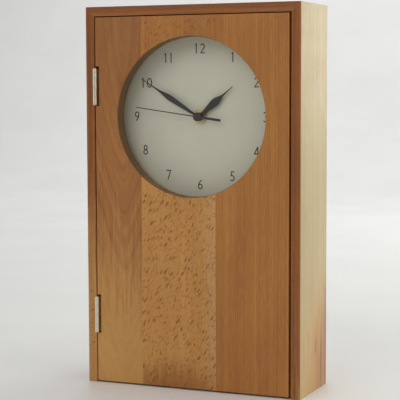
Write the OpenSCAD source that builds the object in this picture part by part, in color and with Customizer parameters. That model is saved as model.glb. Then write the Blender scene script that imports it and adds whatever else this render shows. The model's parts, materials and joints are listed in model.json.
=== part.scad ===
// Mantel clock: a mitred beech box with a full-height glued-up door, a round window in
// the door, a fixed dial behind it and a battery movement that drives three hands.
// Millimetres. +Z is up, the front faces -Y, and the origin is the centre of the footprint.

/* [Case] */
// Outer width of the case
case_w = 240; // [236:1:260]
// Outer depth of the case, without the hinge barrels
case_d = 86; // [84:1:110]
// Outer height of the case
case_h = 400; // [392:1:440]
// Thickness of the sides, top and bottom
wall = 10; // [9:0.5:12]
// Thickness of the back panel
back_t = 4; // [3:0.5:6]
// Width of the shoulder that the back panel sits on
rebate_w = 5; // [4.6:0.1:6]
// Radius of the outer case edges
edge_r = 1.2; // [0.6:0.1:2]
// Radius of the inner front edges
inner_edge_r = 0.5; // [0.3:0.1:0.8]
// Thickness of the shelf below the dial
shelf_t = 8; // [8:0.5:10]
// Height of the shelf's top face
shelf_top = 184; // [170:1:184]
// Width of the access opening in the back
access_w = 90; // [70:1:110]
// Height of the access opening in the back
access_h = 80; // [60:1:100]

/* [Door] */
// Thickness of the door
door_t = 16; // [14:0.5:16]
// Gap between the case and the door's hinged edge
hinge_gap = 1.2; // [1:0.1:1.6]
// Gap between the case and the door's opening edge, wide enough for a fingernail
open_gap = 2.3; // [1.5:0.1:3]
// Gap above the door
top_gap = 1; // [0.6:0.1:2]
// Height of the door's bottom edge above the table
floor_gap = 1.7; // [1:0.1:3]
// Width of the left stave
left_stave_w = 53.3; // [45:0.1:60]
// Width of the middle stave
middle_stave_w = 83.7; // [70:0.1:90]
// Radius of the round window
window_r = 82.8; // [78:0.1:84]
// Height of the window's centre, where the hands turn
dial_z = 284.7; // [284:0.1:288]
// Radius of the window's rim edge
rim_r = 1; // [0.5:0.1:1.5]
// Radius of the door's outer edges
door_edge_r = 0.6; // [0.3:0.1:1]

/* [Hinges] */
// Length of each butt hinge
hinge_len = 38; // [34:1:40]
// Height of the lower hinge's middle
lower_hinge_z = 73.4; // [60:0.1:90]
// Height of the upper hinge's middle
upper_hinge_z = 316.2; // [300:0.1:330]
// Diameter of the hinge barrel
barrel_d = 4.4; // [4:0.1:4.6]
// Diameter of the hinge pin
hinge_pin_d = 2; // [1.8:0.1:2.2]
// Thickness of a hinge leaf
leaf_t = 1.2; // [1:0.1:1.2]
// Distance of the pin's axis in front of the door's face
pin_forward = 1.6; // [1.5:0.1:2]

/* [Dial and hands] */
// Radius of the dial plate
dial_r = 100; // [97:0.5:100]
// Distance of the dial's face behind the front of the case
dial_depth = 26.6; // [26.6:0.1:30]
// Angle of the hour hand from twelve, clockwise
hour_angle = 50.5; // [0:0.5:359.5]
// Angle of the minute hand from twelve, clockwise
minute_angle = 301.4; // [0:0.1:359.9]
// Angle of the second hand from twelve, clockwise
second_angle = 277.9; // [0:0.1:359.9]
// Length of the hour hand from its axis
hour_len = 49; // [40:0.5:60]
// Length of the minute hand from its axis
minute_len = 75.6; // [65:0.1:80]
// Length of the second hand from its axis
second_len = 71; // [60:0.5:80]
// Length of the second hand's tail
tail_len = 26.6; // [20:0.1:32]
// Width of the second hand's tail
tail_w = 2.8; // [1.6:0.1:4]

/* [Movement] */
// Width of the movement's case
move_w = 60; // [60:1:64]
// Depth of the movement's case
move_d = 16; // [16:0.5:18]
// Diameter of the threaded bush
bush_d = 8; // [8:0.5:10]
// Diameter of the battery
battery_d = 14.2; // [13.5:0.1:14.2]
// Length of the battery with its raised end
battery_len = 50.3; // [49:0.1:50.5]

/* [Hidden] */
$fn = 64;

// Case faces
front_y = -case_d / 2;
back_y = case_d / 2;
outer_x = case_w / 2;
inner_x = outer_x - wall;
ceiling_z = case_h - wall;
panel_y = back_y - back_t;
panel_x = inner_x + rebate_w;
panel_clear = 0.2;

// Door faces
door_x0 = -inner_x + hinge_gap;
door_x1 = inner_x - open_gap;
door_back_y = front_y + door_t;
door_z0 = floor_gap;
door_z1 = ceiling_z - top_gap;
glue_left_x = door_x0 + left_stave_w;
glue_right_x = glue_left_x + middle_stave_w;
stop_y = door_back_y + 0.5;

// Hinge
leaf_gap = 0.3;
pin_x = -inner_x + leaf_t + leaf_gap / 2;
pin_y = front_y - pin_forward;
leaf_y0 = pin_y + barrel_d / 2 + 0.4;
leaf_y1 = front_y + 14.4;
mortise_floor_x = -inner_x + 2 * leaf_t + leaf_gap;
notch_x = door_x0 + 4.2;
notch_y = front_y + 5;
pocket_above = 2.4;
pocket_below = 1;
knuckles = 4;
knuckle_gap = 0.3;
leaf_screw_d = 2.2;
leaf_screw_head_d = 4.2;
leaf_screw_head_t = 1;
leaf_screw_len = 9;
leaf_screws = [[leaf_y0 + 5, -11], [leaf_y0 + 8.5, 11]];

// Dial
dial_y = front_y + dial_depth;
dial_plate_t = 0.8;
dial_board_t = 4;
board_y = dial_y + dial_plate_t;
batten_y = board_y + dial_board_t;
batten_w = 12;
batten_t = 10;
board_x = inner_x - 0.2;
board_z0 = shelf_top + 0.2;
board_z1 = ceiling_z - 0.2;
board_screw_x = inner_x - batten_w / 2;
board_screw_z = [board_z0 + 13, board_z1 - 13];

// Magnetic catch on the shelf's front edge
catch_x = inner_x - 14;
catch_z = shelf_top - shelf_t / 2;
magnet_d = 6;
magnet_len = 4;
strike_d = 9;
strike_t = 1;

// Movement, measured back from its front face
washer_t = 1;
move_y = batten_y + washer_t;
move_wall = 1.2;
move_plate = 1.5;
move_z0 = -30;
move_z1 = 26;
cover_split = 13.3;
plate_t0 = 12.3;
plate_t1 = 13.2;
pivot_t = 0.6;
battery_z = -21.6;
battery_t = battery_d / 2 + 1.8;
battery_wall_z = -14.1;

// Gear train
pressure_angle = 25;
addendum = 0.8;
dedendum = 1.05;
thinning = 0.05;
run = 0.06;
rotor_module = 0.3;
second_module = 0.36;
third_module = 0.36;
centre_module = 0.34;
motion_module = 0.52;
rotor_teeth = 10;
intermediate_teeth = 50;
intermediate_pinion_teeth = 10;
seconds_teeth = 60;
seconds_pinion_teeth = 8;
third_teeth = 60;
third_pinion_teeth = 8;
centre_teeth = 64;
cannon_teeth = 12;
minute_teeth = 36;
minute_pinion_teeth = 10;
hour_teeth = 40;
rotor_dist = rotor_module * (rotor_teeth + intermediate_teeth) / 2;
intermediate_dist = second_module * (intermediate_pinion_teeth + seconds_teeth) / 2;
third_dist = third_module * (seconds_pinion_teeth + third_teeth) / 2;
motion_dist = motion_module * (cannon_teeth + minute_teeth) / 2;
hour_module = 2 * motion_dist / (minute_pinion_teeth + hour_teeth);
intermediate_dir = 180;
rotor_dir = 180;
third_dir = 30;
minute_dir = 100;
intermediate_at = polar(intermediate_dist, intermediate_dir);
rotor_at = intermediate_at + polar(rotor_dist, rotor_dir);
third_at = polar(third_dist, third_dir);
minute_at = polar(motion_dist, minute_dir);
arbor_d = 1;
minute_arbor_d = 1.2;
second_arbor_d = 1.5;
cannon_pipe_d = 3.4;
cannon_sleeve_d = 2.4;
hour_pipe_d = 5;

// Hands and what they sit on
nut_t = 2;
nut_af = 12;
washer_brass_t = 0.5;
hand_t = 0.4;
nut_front = dial_y - washer_brass_t - nut_t;
bush_front = nut_front - 0.1;
hour_hand_y = bush_front - 0.7;
hour_pipe_front = hour_hand_y - 0.9;
minute_hand_y = hour_pipe_front - 1;
minute_pipe_front = minute_hand_y - 0.9;
second_hand_y = minute_pipe_front - 1.1;
second_front = second_hand_y - hand_t - 0.6;
hour_boss_r = 4.5;
minute_boss_r = 4.6;
second_boss_r = 4.6;

// Half widths of the hands at distances from the axis
hour_shape = [[3, 1.7], [7, 2], [11, 2.5], [16, 3.3], [20, 4], [23, 4.2], [26, 3.9], [29, 2.95],
              [32, 1.85], [35, 1.15], [38, 0.85], [hour_len - 7, 0.6], [hour_len, 0.45]];
minute_shape = [[3, 1.2], [11, 1.6], [20, 2.2], [30, 2.7], [37, 3.05], [42, 2.65], [47, 1.8],
                [52, 1.15], [58, 0.75], [minute_len - 9, 0.5], [minute_len, 0.35]];

function polar(r, a) = [r * cos(a), r * sin(a)];

// Points along an arc about a centre
function arc(c, r, a0, a1, steps = 4) = [for (i = [0:steps]) c + polar(r, a0 + (a1 - a0) * i / steps)];

// Outline of a rectangle with rounded corners
function rounded(x0, y0, x1, y1, r) = concat(
    arc([x1 - r, y1 - r], r, 0, 90), arc([x0 + r, y1 - r], r, 90, 180),
    arc([x0 + r, y0 + r], r, 180, 270), arc([x1 - r, y0 + r], r, 270, 360));

// Smooth curve through points, a few steps between each pair
function along(p, i, t) =
    let (a = p[max(i - 1, 0)], b = p[i], c = p[i + 1], d = p[min(i + 2, len(p) - 1)])
    0.5 * (2 * b + (c - a) * t + (2 * a - 5 * b + 4 * c - d) * t * t
           + (3 * b - a - 3 * c + d) * t * t * t);
function smooth(p, steps = 3) = concat(
    [for (i = [0:len(p) - 2], k = [0:steps - 1]) along(p, i, k / steps)], [p[len(p) - 1]]);

// Involute of a circle, as an angle, at the pressure angle a
function involute(a) = tan(a) * 180 / PI - a;

// Half the angle that a tooth fills at radius r
function half_tooth(n, m, r) =
    let (pitch_r = n * m / 2, base_r = pitch_r * cos(pressure_angle))
    90 / n - thinning / pitch_r * 90 / PI + involute(pressure_angle)
    - (r > base_r ? involute(acos(base_r / r)) : 0);

// Radii at which a tooth's flank is drawn
function flank_radii(n, m) =
    let (pitch_r = n * m / 2, root_r = pitch_r - dedendum * m, tip_r = pitch_r + addendum * m,
         base_r = pitch_r * cos(pressure_angle), from_r = max(base_r, root_r), steps = n < 20 ? 3 : 2)
    concat(base_r > root_r ? [root_r] : [], [for (k = [0:steps]) from_r + (tip_r - from_r) * k / steps]);

function gear_outline(n, m, tooth_at) =
    let (radii = flank_radii(n, m), last = len(radii) - 1)
    [for (i = [0:n - 1], side = [-1, 1], k = [0:last])
        let (r = side < 0 ? radii[k] : radii[last - k])
        polar(r, tooth_at + 360 * i / n + side * half_tooth(n, m, r))];

// Draws its children's outline, given in x and z, from y0 back to y1
module along_y(y0, y1) {
    translate([0, y1, 0]) rotate([90, 0, 0]) linear_extrude(y1 - y0) children();
}

// Draws its children's outline, given in y and z, from x0 to x1
module along_x(x0, x1) {
    translate([x0, 0, 0]) rotate([90, 0, 90]) linear_extrude(x1 - x0) children();
}

// Round bar along y, at a place in x and z
module bar(d, y0, y1, at = [0, 0]) {
    translate([at[0], y1, at[1]]) rotate([90, 0, 0]) cylinder(d = d, h = y1 - y0);
}

// Block between two corners
module block(a, b) {
    translate(a) cube(b - a);
}

// Countersunk screw that points along -z, with its head's face at z = 0
module screw(d, head_d, head_t, len) {
    difference() {
        union() {
            translate([0, 0, -head_t]) cylinder(d1 = d, d2 = head_d, h = head_t);
            translate([0, 0, -len + d]) cylinder(d = d, h = len - d - head_t / 2);
            translate([0, 0, -len]) cylinder(d1 = 0.3, d2 = d, h = d);
        }
        for (turn = [0, 90])
            rotate([0, 0, turn])
                block([-head_d * 0.3, -d * 0.12, -head_t * 0.6], [head_d * 0.3, d * 0.12, 1]);
    }
}

// The hole for such a screw
module screw_hole(d, head_d, head_t, len) {
    translate([0, 0, -head_t]) cylinder(d1 = d, d2 = head_d, h = head_t);
    translate([0, 0, -0.01]) cylinder(d = head_d, h = 1);
    translate([0, 0, -len]) cylinder(d = d, h = len);
}

module at_dial() {
    translate([0, 0, dial_z]) children();
}

// ---------- Case ----------

module left_side_blank() {
    intersection() {
        linear_extrude(case_h) polygon(concat(
            arc([-inner_x - inner_edge_r, front_y + inner_edge_r], inner_edge_r, -90, 0),
            [[-inner_x, panel_y], [-panel_x, panel_y], [-panel_x, back_y]],
            arc([-outer_x + edge_r, back_y - edge_r], edge_r, 90, 180),
            arc([-outer_x + edge_r, front_y + edge_r], edge_r, 180, 270)));
        along_y(front_y - 1, back_y + 1) polygon(concat(
            [[-outer_x - 1, 0], [-inner_x + 1, 0], [-inner_x + 1, ceiling_z - 1]],
            arc([-outer_x + edge_r, case_h - edge_r], edge_r, 135, 180, 2),
            [[-outer_x - 1, case_h - edge_r]]));
    }
}

module left_side() {
    color([0.55, 0.38, 0.23])
    difference() {
        left_side_blank();
        hinge_relief(lower_hinge_z);
        hinge_relief(upper_hinge_z);
        each_hinge() case_leaf_screw_holes();
        side_screw_holes();
    }
}

module right_side() {
    color([0.72, 0.58, 0.4])
    difference() {
        mirror([1, 0, 0]) left_side_blank();
        side_screw_holes();
    }
}

module top_panel() {
    color([0.48, 0.31, 0.19])
    difference() {
        intersection() {
            along_x(-outer_x, outer_x) polygon(concat(
                arc([front_y + edge_r, case_h - edge_r], edge_r, 180, 90),
                arc([back_y - edge_r, case_h - edge_r], edge_r, 90, 0),
                [[back_y, ceiling_z + rebate_w], [panel_y, ceiling_z + rebate_w], [panel_y, ceiling_z]],
                arc([front_y + inner_edge_r, ceiling_z + inner_edge_r], inner_edge_r, -90, -180)));
            along_y(front_y - 1, back_y + 1) polygon(concat(
                [[inner_x - 1, ceiling_z - 1]],
                arc([outer_x - edge_r, case_h - edge_r], edge_r, 45, 90, 2),
                [[outer_x - edge_r, case_h + 1], [-outer_x + edge_r, case_h + 1]],
                arc([-outer_x + edge_r, case_h - edge_r], edge_r, 90, 135, 2),
                [[-inner_x + 1, ceiling_z - 1]]));
        }
        side_screw_holes();
    }
}

module bottom_panel() {
    color([0.6, 0.43, 0.27])
    difference() {
        block([-inner_x, stop_y, 0], [inner_x, panel_y, wall]);
        side_screw_holes();
    }
}

module shelf() {
    color([0.62, 0.45, 0.28])
    difference() {
        block([-inner_x, stop_y, shelf_top - shelf_t], [inner_x, panel_y, shelf_top]);
        bar(magnet_d, stop_y - 1, stop_y + magnet_len, [catch_x, catch_z]);
    }
}

module back_panel() {
    color([0.72, 0.6, 0.43])
    difference() {
        block([-panel_x + panel_clear, panel_y, 1], [panel_x - panel_clear, back_y, ceiling_z + rebate_w - panel_clear]);
        along_y(panel_y - 1, back_y + 1)
            polygon(rounded(-access_w / 2, dial_z - access_h / 2, access_w / 2, dial_z + access_h / 2, 8));
        side_screw_holes();
    }
}

back_screw_inset = panel_x - 2.4;
back_screw_spots = concat(
    [for (x = [-back_screw_inset, back_screw_inset], i = [0:3]) [x, 22 + i * (case_h - 44) / 3]],
    [for (x = [-40, 40], z = [wall / 2, ceiling_z + 2.4]) [x, z]]);

module each_back_screw() {
    for (p = back_screw_spots)
        translate([p[0], back_y, p[1]]) rotate([-90, 0, 0]) children();
}

module side_screw_holes() {
    each_back_screw() screw_hole(2, 3.6, 1, 12);
}

module back_screws() {
    color([0.75, 0.68, 0.45]) each_back_screw() screw(2, 3.6, 1, 12);
}

module batten(side) {
    mirror([side < 0 ? 1 : 0, 0, 0])
    difference() {
        block([inner_x - batten_w, batten_y, shelf_top], [inner_x, batten_y + batten_t, ceiling_z]);
        each_board_screw() screw_hole(3, 5.6, 1.6, 12);
    }
}

module left_batten() {
    color([0.66, 0.5, 0.32]) batten(-1);
}

module right_batten() {
    color([0.66, 0.5, 0.32]) batten(1);
}

// ---------- Dial ----------

module each_board_screw() {
    for (x = [-board_screw_x, board_screw_x], z = board_screw_z)
        translate([x, board_y, z]) rotate([90, 0, 0]) children();
}

module dial_board() {
    color([0.7, 0.66, 0.58])
    difference() {
        block([-board_x, board_y, board_z0], [board_x, batten_y, board_z1]);
        bar(bush_d + 0.6, board_y - 1, batten_y + 1, [0, dial_z]);
        each_board_screw() screw_hole(3, 5.6, 1.6, 12);
    }
}

module dial_board_screws() {
    color([0.75, 0.75, 0.72]) each_board_screw() screw(3, 5.6, 1.6, 12);
}

module dial_plate() {
    color([0.78, 0.77, 0.7])
    at_dial() difference() {
        bar(2 * dial_r, dial_y, board_y);
        bar(bush_d + 0.6, dial_y - 1, board_y + 1);
    }
}

module catch_magnet() {
    color([0.6, 0.6, 0.62]) bar(magnet_d, stop_y, stop_y + magnet_len, [catch_x, catch_z]);
}

// ---------- Door ----------

// Round window with an eased rim on both faces
module window() {
    at_dial() rotate([-90, 0, 0]) rotate_extrude($fn = 128) polygon(concat(
        [[0, front_y - 1], [window_r + rim_r, front_y - 1]],
        arc([window_r + rim_r, front_y + rim_r], rim_r, 270, 180),
        arc([window_r + rim_r, door_back_y - rim_r], rim_r, 180, 90),
        [[window_r + rim_r, door_back_y + 1], [0, door_back_y + 1]]));
}

module door_blank(x0, x1, ease_left, ease_right) {
    r = door_edge_r;
    left = ease_left
        ? concat(arc([x0 + r, door_back_y - r], r, 90, 180), arc([x0 + r, front_y + r], r, 180, 270))
        : [[x0, door_back_y], [x0, front_y]];
    right = ease_right
        ? concat(arc([x1 - r, front_y + r], r, 270, 360), arc([x1 - r, door_back_y - r], r, 0, 90))
        : [[x1, front_y], [x1, door_back_y]];
    intersection() {
        translate([0, 0, door_z0]) linear_extrude(door_z1 - door_z0) polygon(concat(left, right));
        along_x(x0 - 1, x1 + 1) polygon(rounded(front_y, door_z0, door_back_y, door_z1, r));
    }
}

// Mortise for a hinge's door leaf, with a wider notch in front for the barrel
module hinge_pocket(z) {
    z0 = z - hinge_len / 2 - pocket_below;
    z1 = z + hinge_len / 2 + pocket_above;
    block([door_x0 - 1, front_y - 1, z0], [mortise_floor_x, leaf_y1 + 0.3, z1]);
    block([door_x0 - 1, front_y - 1, z0], [notch_x, notch_y, z1]);
}

module door_board_left() {
    color([0.57, 0.38, 0.22])
    difference() {
        door_blank(door_x0, glue_left_x, true, false);
        window();
        hinge_pocket(lower_hinge_z);
        hinge_pocket(upper_hinge_z);
        each_hinge() door_leaf_screw_holes();
    }
}

module middle_stave() {
    difference() {
        door_blank(glue_left_x, glue_right_x, false, false);
        window();
    }
}

module door_board_upper() {
    color([0.65, 0.46, 0.26])
    intersection() {
        middle_stave();
        block([glue_left_x - 1, front_y - 1, dial_z], [glue_right_x + 1, door_back_y + 1, case_h]);
    }
}

module door_board_lower() {
    color([0.65, 0.46, 0.26])
    intersection() {
        middle_stave();
        block([glue_left_x - 1, front_y - 1, 0], [glue_right_x + 1, door_back_y + 1, dial_z]);
    }
}

module at_strike() {
    translate([catch_x, door_back_y, catch_z]) rotate([-90, 0, 0]) children();
}

module door_board_right() {
    color([0.57, 0.38, 0.22])
    difference() {
        door_blank(glue_right_x, door_x1, false, true);
        window();
        at_strike() translate([0, 0, -strike_t]) cylinder(d = strike_d, h = strike_t + 1);
        at_strike() screw_hole(1.8, 3.4, 0.8, 8);
    }
}

module strike_plate() {
    color([0.72, 0.72, 0.72])
    at_strike() difference() {
        translate([0, 0, -strike_t]) cylinder(d = strike_d, h = strike_t);
        screw_hole(1.8, 3.4, 0.8, 8);
    }
}

module strike_screw() {
    color([0.7, 0.7, 0.7]) at_strike() screw(1.8, 3.4, 0.8, 8);
}

// ---------- Hinges ----------

module each_hinge() {
    for (z = [lower_hinge_z, upper_hinge_z])
        translate([0, 0, z]) children();
}

// Room for the barrel in the front edge of the case
module hinge_relief(z) {
    translate([pin_x, pin_y, z - hinge_len / 2 - 0.5]) cylinder(d = barrel_d + 0.7, h = hinge_len + 1);
}

module case_leaf_screws_at() {
    for (p = leaf_screws)
        translate([-inner_x + leaf_t, p[0], p[1]]) rotate([0, 90, 0]) children();
}

module door_leaf_screws_at() {
    for (p = leaf_screws)
        translate([mortise_floor_x - leaf_t, p[0], -p[1]]) rotate([0, -90, 0]) children();
}

module leaf_screw_hole() {
    screw_hole(leaf_screw_d, leaf_screw_head_d, leaf_screw_head_t, leaf_screw_len);
}

module case_leaf_screw_holes() {
    case_leaf_screws_at() leaf_screw_hole();
}

module door_leaf_screw_holes() {
    door_leaf_screws_at() leaf_screw_hole();
}

// One leaf: its plate lies between x0 and x0 + leaf_t, and it carries every second knuckle
module hinge_leaf(x0, first) {
    pitch = hinge_len / knuckles;
    difference() {
        union() {
            block([x0, leaf_y0, -hinge_len / 2], [x0 + leaf_t, leaf_y1, hinge_len / 2]);
            for (k = [first:2:knuckles - 1]) {
                z0 = -hinge_len / 2 + k * pitch + (k > 0 ? knuckle_gap / 2 : 0);
                z1 = -hinge_len / 2 + (k + 1) * pitch - (k < knuckles - 1 ? knuckle_gap / 2 : 0);
                translate([pin_x, pin_y, z0]) cylinder(d = barrel_d, h = z1 - z0);
                block([x0, pin_y, z0], [x0 + leaf_t, leaf_y0 + 1, z1]);
            }
        }
        translate([pin_x, pin_y, -hinge_len / 2 - 1])
            cylinder(d = hinge_pin_d + 2 * run, h = hinge_len + 2);
    }
}

module case_leaf() {
    color([0.8, 0.78, 0.72])
    difference() {
        hinge_leaf(-inner_x, 1);
        case_leaf_screw_holes();
    }
}

module door_leaf() {
    color([0.8, 0.78, 0.72])
    difference() {
        hinge_leaf(mortise_floor_x - leaf_t, 0);
        door_leaf_screw_holes();
    }
}

// Pin with a low button at each end
module hinge_pin() {
    color([0.85, 0.83, 0.78])
    translate([pin_x, pin_y, -hinge_len / 2]) {
        translate([0, 0, -0.2]) cylinder(d = hinge_pin_d, h = hinge_len + 0.4);
        translate([0, 0, hinge_len + 0.1]) cylinder(d1 = hinge_pin_d + 0.8, d2 = hinge_pin_d, h = 0.5);
        translate([0, 0, -0.6]) cylinder(d1 = hinge_pin_d, d2 = hinge_pin_d + 0.8, h = 0.5);
    }
}

module upper_hinge_case_leaf() {
    translate([0, 0, upper_hinge_z]) case_leaf();
}

module upper_hinge_door_leaf() {
    translate([0, 0, upper_hinge_z]) door_leaf();
}

module upper_hinge_pin() {
    translate([0, 0, upper_hinge_z]) hinge_pin();
}

module lower_hinge_case_leaf() {
    translate([0, 0, lower_hinge_z]) case_leaf();
}

module lower_hinge_door_leaf() {
    translate([0, 0, lower_hinge_z]) door_leaf();
}

module lower_hinge_pin() {
    translate([0, 0, lower_hinge_z]) hinge_pin();
}

module leaf_screw() {
    color([0.78, 0.76, 0.7])
    screw(leaf_screw_d, leaf_screw_head_d, leaf_screw_head_t, leaf_screw_len);
}

module hinge_case_screws() {
    each_hinge() case_leaf_screws_at() leaf_screw();
}

module hinge_door_screws() {
    each_hinge() door_leaf_screws_at() leaf_screw();
}

// ---------- Movement: fixed parts ----------

// Outline of the movement's case, drawn inwards by inset
module move_outline(inset, r) {
    polygon(rounded(-move_w / 2 + inset, move_z0 + inset, move_w / 2 - inset, move_z1 - inset, r));
}

pillars = [for (x = [-1, 1], z = [move_z0 + 19.4, move_z1 - 3]) [x * (move_w / 2 - 3.4), z]];
pivots = [[intermediate_at, arbor_d], [rotor_at, arbor_d], [third_at, arbor_d], [minute_at, minute_arbor_d]];

// Front shell with the threaded bush, the battery wall and the pillars for the train plate
module movement_front_case() {
    color([0.13, 0.13, 0.14])
    at_dial() difference() {
        union() {
            difference() {
                along_y(move_y, move_y + cover_split) move_outline(0, 2.4);
                along_y(move_y + move_plate, move_y + cover_split + 1) move_outline(move_wall, 1.2);
            }
            block([-move_w / 2 + 1, move_y + 1, battery_wall_z],
                  [move_w / 2 - 1, move_y + plate_t0 + 1, battery_wall_z + move_wall]);
            for (p = pillars)
                bar(2.8, move_y + 1, move_y + plate_t0, p);
            bar(bush_d, bush_front, move_y + 1);
        }
        bar(hour_pipe_d + 2 * run, bush_front - 1, move_y + move_plate + 1);
        for (p = pivots)
            bar(p[1] + 2 * run, move_y + pivot_t - 0.1, move_y + move_plate + 1, p[0]);
    }
}

// Rear cover, open where the battery goes in
module movement_rear_cover() {
    color([0.16, 0.16, 0.17])
    at_dial() difference() {
        along_y(move_y + cover_split, move_y + move_d) move_outline(0, 2.4);
        along_y(move_y + cover_split - 1, move_y + move_d - 1.4) move_outline(move_wall, 1.2);
        along_y(move_y, move_y + move_d + 1)
            polygon(rounded(-move_w / 2 + 2.4, move_z0 + 1.2, move_w / 2 - 1.4, battery_wall_z - 0.2, 1));
        bar(minute_arbor_d + 1.2, move_y, move_y + move_d + 1, minute_at);
    }
}

module ring(outer_d, inner_d, y0, y1) {
    at_dial() difference() {
        bar(outer_d, y0, y1);
        bar(inner_d, y0 - 1, y1 + 1);
    }
}

module rubber_washer() {
    color([0.08, 0.08, 0.08]) ring(18, bush_d + 0.4, batten_y, move_y);
}

module brass_washer() {
    color([0.72, 0.6, 0.32]) ring(17, bush_d + 0.3, dial_y - washer_brass_t, dial_y);
}

module bush_nut() {
    color([0.7, 0.58, 0.3])
    at_dial() difference() {
        translate([0, dial_y - washer_brass_t, 0]) rotate([90, 0, 0])
            cylinder(d = nut_af / cos(30), h = nut_t, $fn = 6);
        bar(bush_d, nut_front - 1, dial_y + 1);
    }
}

// Plate that holds the rear pivots
module train_plate() {
    color([0.85, 0.84, 0.8])
    at_dial() difference() {
        along_y(move_y + plate_t0, move_y + plate_t1) polygon(rounded(
            -move_w / 2 + 1.6, battery_wall_z + move_wall + 0.4, move_w / 2 - 1.6, move_z1 - 1.6, 1));
        for (p = pivots)
            bar(p[1] + 2 * run, move_y, move_y + move_d, p[0]);
        bar(second_arbor_d + 2 * run, move_y, move_y + move_d);
    }
}

// Stepping motor: the stator's two legs meet round the rotor and the coil bridges them
stator_t0 = 8.2;
stator_t1 = 9;
motor_t = (stator_t0 + stator_t1) / 2;
coil_z = 18.5;
coil_x0 = -22.2;
coil_x1 = -8.9;

module stator() {
    color([0.62, 0.62, 0.6])
    at_dial() along_y(move_y + stator_t0, move_y + stator_t1) difference() {
        polygon([
            [rotor_at[0] - 4.2, -4], [rotor_at[0] + 4.2, -4], [rotor_at[0] + 4.2, 11.6], [-5.4, 11.6],
            [-5.4, coil_z + 1.3], [rotor_at[0] - 4.2, coil_z + 1.3]]);
        polygon([
            [rotor_at[0] - 1, 4.2], [rotor_at[0] + 1, 4.2], [rotor_at[0] + 1, 14.2], [-8.4, 14.2],
            [-8.4, coil_z - 1.3], [rotor_at[0] - 1, coil_z - 1.3]]);
        translate(rotor_at) circle(d = 6.2);
    }
}

module coil_bobbin() {
    color([0.9, 0.88, 0.8])
    at_dial() difference() {
        union() {
            block([coil_x0, move_y + motor_t - 1, coil_z - 1.9], [coil_x1, move_y + motor_t + 1, coil_z + 1.9]);
            for (x = [coil_x0, coil_x1 - 0.8])
                block([x, move_y + motor_t - 3.5, coil_z - 3.5], [x + 0.8, move_y + motor_t + 3.5, coil_z + 3.5]);
        }
        block([coil_x0 - 1, move_y + stator_t0 - 0.05, coil_z - 1.35],
              [coil_x1 + 1, move_y + stator_t1 + 0.05, coil_z + 1.35]);
    }
}

module coil_winding() {
    color([0.72, 0.4, 0.2])
    at_dial() difference() {
        translate([coil_x0 + 0.85, move_y + motor_t, coil_z]) rotate([0, 90, 0])
            cylinder(d = 6.6, h = coil_x1 - coil_x0 - 1.7);
        block([coil_x0, move_y + motor_t - 1.02, coil_z - 1.92], [coil_x1, move_y + motor_t + 1.02, coil_z + 1.92]);
    }
}

board_t0 = 10.6;
board_t1 = 11.6;

module circuit_board() {
    color([0.1, 0.35, 0.2])
    at_dial() block([14, move_y + board_t0, -8], [24.5, move_y + board_t1, 20]);
}

module timing_crystal() {
    color([0.8, 0.8, 0.8])
    at_dial() translate([21.5, move_y + board_t0 - 1, 8]) cylinder(d = 2, h = 6);
}

module chip() {
    color([0.05, 0.05, 0.05])
    at_dial() translate([18.5, move_y + board_t1 + 0.5, 2]) rotate([90, 0, 0]) cylinder(d = 6, h = 0.5);
}

positive_x = move_w / 2 - move_wall - 0.45;
battery_x1 = positive_x;

module battery() {
    color([0.25, 0.3, 0.38])
    at_dial() translate([battery_x1, move_y + battery_t, battery_z]) rotate([0, -90, 0]) {
        translate([0, 0, 1]) cylinder(d = battery_d, h = battery_len - 1);
        cylinder(d = 5.4, h = 1.5);
    }
}

module positive_contact() {
    color([0.78, 0.78, 0.75])
    at_dial() block([positive_x, move_y + battery_t - 4.5, battery_z - 4.5],
                    [positive_x + 0.4, move_y + battery_t + 4.5, battery_z + 4.5]);
}

// Bent leaf that presses on the battery's flat end
module negative_contact() {
    x0 = -move_w / 2 + move_wall + 0.05;
    tip = battery_x1 - battery_len;
    color([0.78, 0.78, 0.75])
    at_dial() along_y(move_y + battery_t - 3, move_y + battery_t + 3) polygon([
        [x0, battery_z - 6], [x0 + 0.4, battery_z - 6], [tip, battery_z - 1], [tip, battery_z + 1],
        [tip - 3.4, battery_z + 5], [tip - 3.8, battery_z + 4.8], [tip - 0.5, battery_z + 0.8],
        [tip - 0.5, battery_z - 0.8], [x0, battery_z - 5.4]]);
}

// ---------- Movement: turning parts ----------

// A gear between two depths in the movement, with one tooth at the stated angle
module gear(n, m, t0, t1, at, tooth_at) {
    along_y(move_y + t0, move_y + t1)
        translate(at) polygon(gear_outline(n, m, tooth_at));
}

// The angle of a tooth on a wheel whose gap meets a pinion's tooth that points along dir
function meshed(n, dir) = dir + 180 + 180 / n;

module rotor() {
    color([0.35, 0.35, 0.37])
    at_dial() {
        bar(arbor_d, move_y + pivot_t, move_y + plate_t1, rotor_at);
        bar(5, move_y + motor_t - 1.2, move_y + motor_t + 1.2, rotor_at);
        gear(rotor_teeth, rotor_module, 10.7, 11.7, rotor_at, rotor_dir + 180);
    }
}

module intermediate_wheel() {
    color([0.9, 0.88, 0.8])
    at_dial() {
        bar(arbor_d, move_y + pivot_t, move_y + plate_t1, intermediate_at);
        gear(intermediate_teeth, rotor_module, 10.9, 11.5, intermediate_at,
             meshed(intermediate_teeth, rotor_dir + 180));
        gear(intermediate_pinion_teeth, second_module, 8.9, 10.1, intermediate_at, intermediate_dir + 180);
        bar(3, move_y + 10, move_y + 11, intermediate_at);
    }
}

module seconds_wheel() {
    color([0.9, 0.9, 0.86])
    at_dial() {
        bar(second_arbor_d, second_hand_y - 0.1, move_y + plate_t1);
        gear(seconds_teeth, second_module, 9.1, 9.9, [0, 0], meshed(seconds_teeth, intermediate_dir + 180));
        gear(seconds_pinion_teeth, third_module, 6.9, 8.1, [0, 0], third_dir);
        bar(3.4, move_y + 8, move_y + 9.2);
    }
}

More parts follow.
